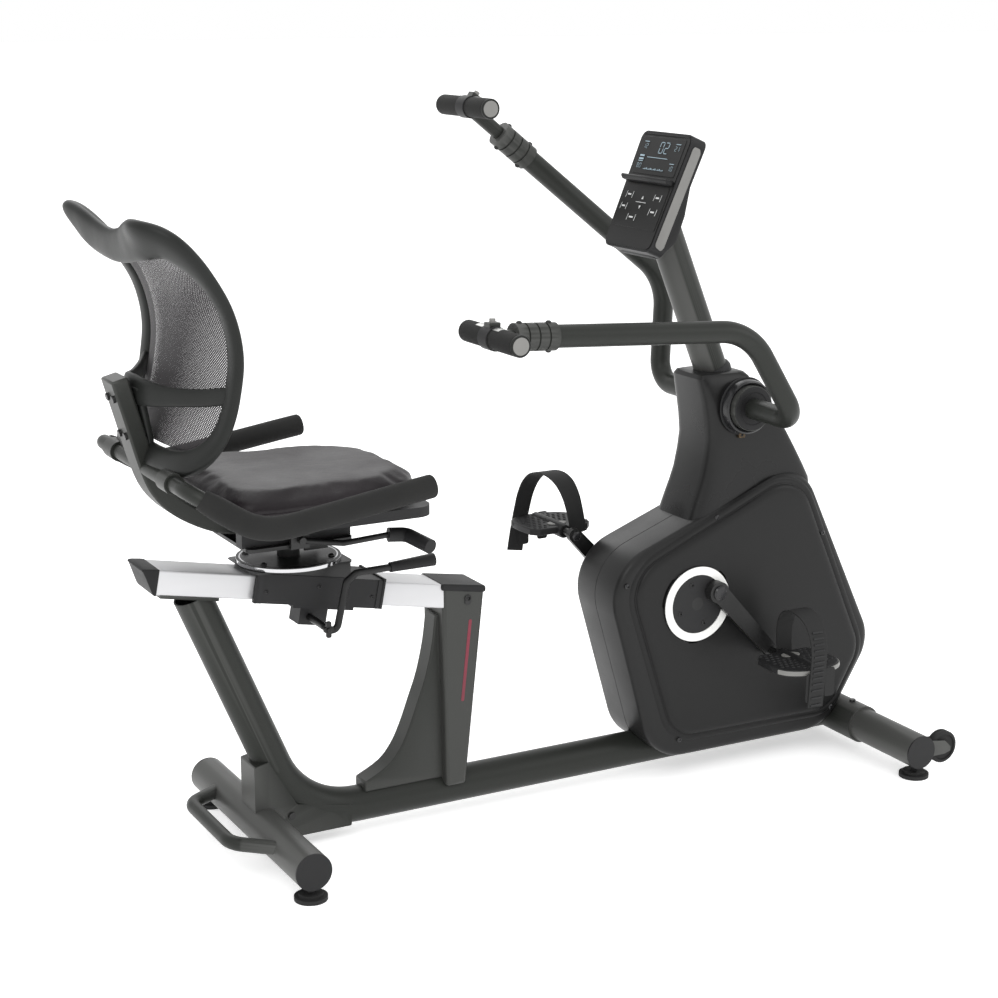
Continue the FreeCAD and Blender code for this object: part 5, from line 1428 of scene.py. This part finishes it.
def build_fittings():
    """Grooved transport wheels, the hub's small plates and seat bolts."""
    for name, side in SIDES:
        wheel = bmesh.new()
        profile = [
            (-9, 4.3), (-9, 12), (-6, 13), (-6, 24), (-9, 25), (-8.6, 29), (-6.5, 31), (-2.5, 31),
                (-1.8, 29.8), (1.8, 29.8),
            (2.5, 31), (6.5, 31), (8.6, 29), (9, 25), (6, 24), (6, 13), (9, 12), (9, 4.3), (-9, 4.3),
        ]
        turned(wheel, at(1264, side * 264, 45), (0, side, 0), [(a / 1000.0, r / 1000.0) for a, r in profile],
            48)
        add_piece("transport_wheel_" + name, wheel, "rubber", "wheel_body_" + name, ["wheel_" + name])
        plate = bmesh.new()
        loop = rounded_loop([at(x, side * 67, z) for x,
            z in ((923, 632), (937, 632), (937, 642), (923, 642))], 0.002, 3)
        slab_between(plate, loop, Vector((0, side * -0.008, 0)))
        add_piece("hub_tag_" + name, plate, "bronze", "frame", bevel=0.0008)
    spots = [(at(930, side * 67, 637), Vector((0, side, 0))) for side in (-1, 1)]
    scatter("hub_tag_screws", screw_mesh(0.0026, 0.0015), spots, "dark_steel", "frame")
    spots = []
    for x, z in ((-92, 537), (-92, 522)):
        spots.append((on_rail(20, -43, 20 if z > 530 else -20),
            Vector((-math.sin(RAIL_TILT), 0, -math.cos(RAIL_TILT)))))
    scatter("mount_bolts", screw_mesh(0.006, 0.004), spots, "dark_steel", "frame")


# ---------------------------------------------------------------- seat bracket and swivel

BRACKET_BACK = [(-229, 831), (-210, 764), (-190, 692), (-171, 646), (-137, 609), (-85, 579), (-37, 565),
    (20, 562), (110, 561)]
BRACKET_FRONT = [(110, 589), (20, 589), (-33, 590), (-73, 603), (-118, 631), (-147, 662), (-163, 696),
    (-182, 766), (-202, 838)]


def build_seat_frame():
    """The swept bracket that carries the backrest, and the bright edge of the index ring."""
    bracket = bmesh.new()
    back = smooth_path([at(x, -29, z) for x, z in BRACKET_BACK], 4)
    front = smooth_path([at(x, -29, z) for x, z in BRACKET_FRONT], 4)
    slab_between(bracket, back + front, Vector((0, 0.058, 0)))
    add_piece("back_bracket_skin", bracket, "graphite", "seat", ["back_bracket"], bevel=0.0035)
    band = bmesh.new()
    profile = [(0.0012, 0.0868), (0.0012, 0.0874), (0.0068, 0.0874), (0.0076, 0.0866), (0.0082, 0.080),
        (0.0076, 0.0798), (0.0012, 0.0868)]
    turned(band, at(68, 0, 503), (0, 0, 1), profile, 72)
    add_piece("index_ring_edge", band, "chrome", "carriage")
    spots = []
    for x, y in ((8, -40), (8, 40), (128, -40), (128, 40)):
        spots.append((at(x, y, 511), Vector((0, 0, 1))))
    scatter("ring_bolts", screw_mesh(0.0055, 0.0035), spots, "dark_steel", "carriage")


# ---------------------------------------------------------------- add-on classes

class BikeColours(bpy.types.PropertyGroup):
    """Colours of the main finishes."""
    frame_colour: bpy.props.FloatVectorProperty(
        name="Frame", description="Powder coat of the tubes", default=(0.019, 0.0205, 0.018), subtype="COLOR",
            min=0, max=1)
    casing_colour: bpy.props.FloatVectorProperty(
        name="Casing", description="Moulded covers of the drive", default=(0.012, 0.012, 0.012),
            subtype="COLOR", min=0, max=1)
    seat_colour: bpy.props.FloatVectorProperty(
        name="Seat", description="Vinyl of the seat", default=(0.012, 0.0095, 0.011), subtype="COLOR", min=0,
            max=1)


class BikeSizes(bpy.types.PropertyGroup):
    """Sizes of the fittings that only show."""
    welt_height: bpy.props.FloatProperty(
        name="Welt height", description="Height of the seat's sewn welt over the floor", default=0.6285,
            unit="LENGTH")
    screw_radius: bpy.props.FloatProperty(
        name="Screw radius", description="Radius of the casing's screw heads", default=0.0048, unit="LENGTH")
    stripe_width: bpy.props.FloatProperty(
        name="Stripe width", description="Width of the plain stripe on the front upright", default=0.006,
            unit="LENGTH")


class BikeStudio(bpy.types.PropertyGroup):
    """Light and lens of the studio."""
    sky_strength: bpy.props.FloatProperty(name="Sky", description="Strength of the white surround",
        default=1.0, min=0)
    key_power: bpy.props.FloatProperty(name="Key light", description="Power of the key light", default=42.0,
        min=0, subtype="POWER")
    lens: bpy.props.FloatProperty(name="Lens", description="Focal length in millimetres", default=72.85,
        min=10, max=300)


class BIKE_OT_finishes(bpy.types.Operator):
    """Makes the materials and gives each carried-over part its finish"""
    bl_idname = "bike.finishes"
    bl_label = "Finishes"

    def execute(self, context):
        make_materials(context.scene.bike_colours)
        finish_cad_nodes()
        return {"FINISHED"}


class BIKE_OT_stage(bpy.types.Operator):
    """Sets the floor, the lights and the camera"""
    bl_idname = "bike.stage"
    bl_label = "Stage"

    def execute(self, context):
        build_stage(context.scene.bike_studio)
        return {"FINISHED"}


class BIKE_OT_cushion(bpy.types.Operator):
    """Pads the seat: a crowned vinyl cushion with a sewn welt"""
    bl_idname = "bike.cushion"
    bl_label = "Seat cushion"

    def execute(self, context):
        build_cushion(context.scene.bike_sizes)
        return {"FINISHED"}


class BIKE_OT_back_rim(bpy.types.Operator):
    """Builds the moulded rim, the lumbar bar and the spine plate"""
    bl_idname = "bike.back_rim"
    bl_label = "Backrest rim"

    def execute(self, context):
        build_backrest_rim()
        return {"FINISHED"}


class BIKE_OT_back_mesh(bpy.types.Operator):
    """Stretches the woven sheet over the rim"""
    bl_idname = "bike.back_mesh"
    bl_label = "Backrest mesh"

    def execute(self, context):
        build_back_mesh()
        return {"FINISHED"}


class BIKE_OT_pedals(bpy.types.Operator):
    """Builds the platforms, studs, bands and straps"""
    bl_idname = "bike.pedals"
    bl_label = "Pedals"

    def execute(self, context):
        build_pedals()
        return {"FINISHED"}


class BIKE_OT_crank_trim(bpy.types.Operator):
    """Adds the disc screws and the caps of the crank arms"""
    bl_idname = "bike.crank_trim"
    bl_label = "Crank trim"

    def execute(self, context):
        build_crank_trim()
        return {"FINISHED"}


class BIKE_OT_handles(bpy.types.Operator):
    """Builds the foam grips, pulse plates and clamps of the T-handles"""
    bl_idname = "bike.handles"
    bl_label = "Handles"

    def execute(self, context):
        build_handles()
        return {"FINISHED"}


class BIKE_OT_armrests(bpy.types.Operator):
    """Builds the foam sleeves of the armrests"""
    bl_idname = "bike.armrests"
    bl_label = "Armrests"

    def execute(self, context):
        build_armrests()
        return {"FINISHED"}


class BIKE_OT_casing(bpy.types.Operator):
    """Builds the moulded shells, raised panels and rim screws"""
    bl_idname = "bike.casing"
    bl_label = "Casing"

    def execute(self, context):
        build_casing(context.scene.bike_sizes)
        return {"FINISHED"}


class BIKE_OT_neck(bpy.types.Operator):
    """Builds the shroud, its collar and the hub rings"""
    bl_idname = "bike.neck"
    bl_label = "Neck and hub"

    def execute(self, context):
        build_neck()
        return {"FINISHED"}


class BIKE_OT_rail(bpy.types.Operator):
    """Builds the rail, its end cap, and the carriage's lips and screws"""
    bl_idname = "bike.rail"
    bl_label = "Rail"

    def execute(self, context):
        build_rail()
        return {"FINISHED"}


class BIKE_OT_upright(bpy.types.Operator):
    """Builds the column, web, cap and stripe"""
    bl_idname = "bike.upright"
    bl_label = "Front upright"

    def execute(self, context):
        build_upright(context.scene.bike_sizes)
        return {"FINISHED"}


class BIKE_OT_console(bpy.types.Operator):
    """Builds the housing, strips, numerals and legends"""
    bl_idname = "bike.console"
    bl_label = "Console"

    def execute(self, context):
        build_console()
        return {"FINISHED"}


class BIKE_OT_fittings(bpy.types.Operator):
    """Builds the wheels and small plates and bolts"""
    bl_idname = "bike.fittings"
    bl_label = "Fittings"

    def execute(self, context):
        build_fittings()
        return {"FINISHED"}


class BIKE_OT_seat_frame(bpy.types.Operator):
    """Builds the swept back bracket and the index ring edge"""
    bl_idname = "bike.seat_frame"
    bl_label = "Seat frame"

    def execute(self, context):
        build_seat_frame()
        return {"FINISHED"}


CLASSES = (
    BikeColours,
    BikeSizes,
    BikeStudio,
    BIKE_OT_finishes,
    BIKE_OT_stage,
    BIKE_OT_cushion,
    BIKE_OT_back_rim,
    BIKE_OT_back_mesh,
    BIKE_OT_pedals,
    BIKE_OT_crank_trim,
    BIKE_OT_handles,
    BIKE_OT_armrests,
    BIKE_OT_casing,
    BIKE_OT_neck,
    BIKE_OT_rail,
    BIKE_OT_upright,
    BIKE_OT_console,
    BIKE_OT_fittings,
    BIKE_OT_seat_frame,
)


class BIKE_PT_pieces(bpy.types.Panel):
    """Lists the sizes, the colours and the builders"""
    bl_idname = "BIKE_PT_pieces"
    bl_label = "Recumbent bike"
    bl_space_type = "VIEW_3D"
    bl_region_type = "UI"
    bl_category = "Bike"

    def draw(self, context):
        layout = self.layout
        scene = context.scene
        for group in (scene.bike_colours, scene.bike_sizes, scene.bike_studio):
            box = layout.box()
            for name in group.__annotations__:
                box.prop(group, name)
        for builder in CLASSES:
            if issubclass(builder, bpy.types.Operator):
                layout.operator(builder.bl_idname)


def register():
    for builder in CLASSES:
        bpy.utils.register_class(builder)
    bpy.utils.register_class(BIKE_PT_pieces)
    bpy.types.Scene.bike_colours = bpy.props.PointerProperty(type=BikeColours)
    bpy.types.Scene.bike_sizes = bpy.props.PointerProperty(type=BikeSizes)
    bpy.types.Scene.bike_studio = bpy.props.PointerProperty(type=BikeStudio)


def unregister():
    del bpy.types.Scene.bike_studio
    del bpy.types.Scene.bike_sizes
    del bpy.types.Scene.bike_colours
    bpy.utils.unregister_class(BIKE_PT_pieces)
    for builder in reversed(CLASSES):
        bpy.utils.unregister_class(builder)


def main():
    register()
    bpy.ops.bike.finishes()
    bpy.ops.bike.stage()
    bpy.ops.bike.cushion()
    bpy.ops.bike.back_rim()
    bpy.ops.bike.back_mesh()
    bpy.ops.bike.pedals()
    bpy.ops.bike.crank_trim()
    bpy.ops.bike.handles()
    bpy.ops.bike.armrests()
    bpy.ops.bike.casing()
    bpy.ops.bike.neck()
    bpy.ops.bike.rail()
    bpy.ops.bike.upright()
    bpy.ops.bike.console()
    bpy.ops.bike.fittings()
    bpy.ops.bike.seat_frame()


if __name__ == "__main__":
    main()
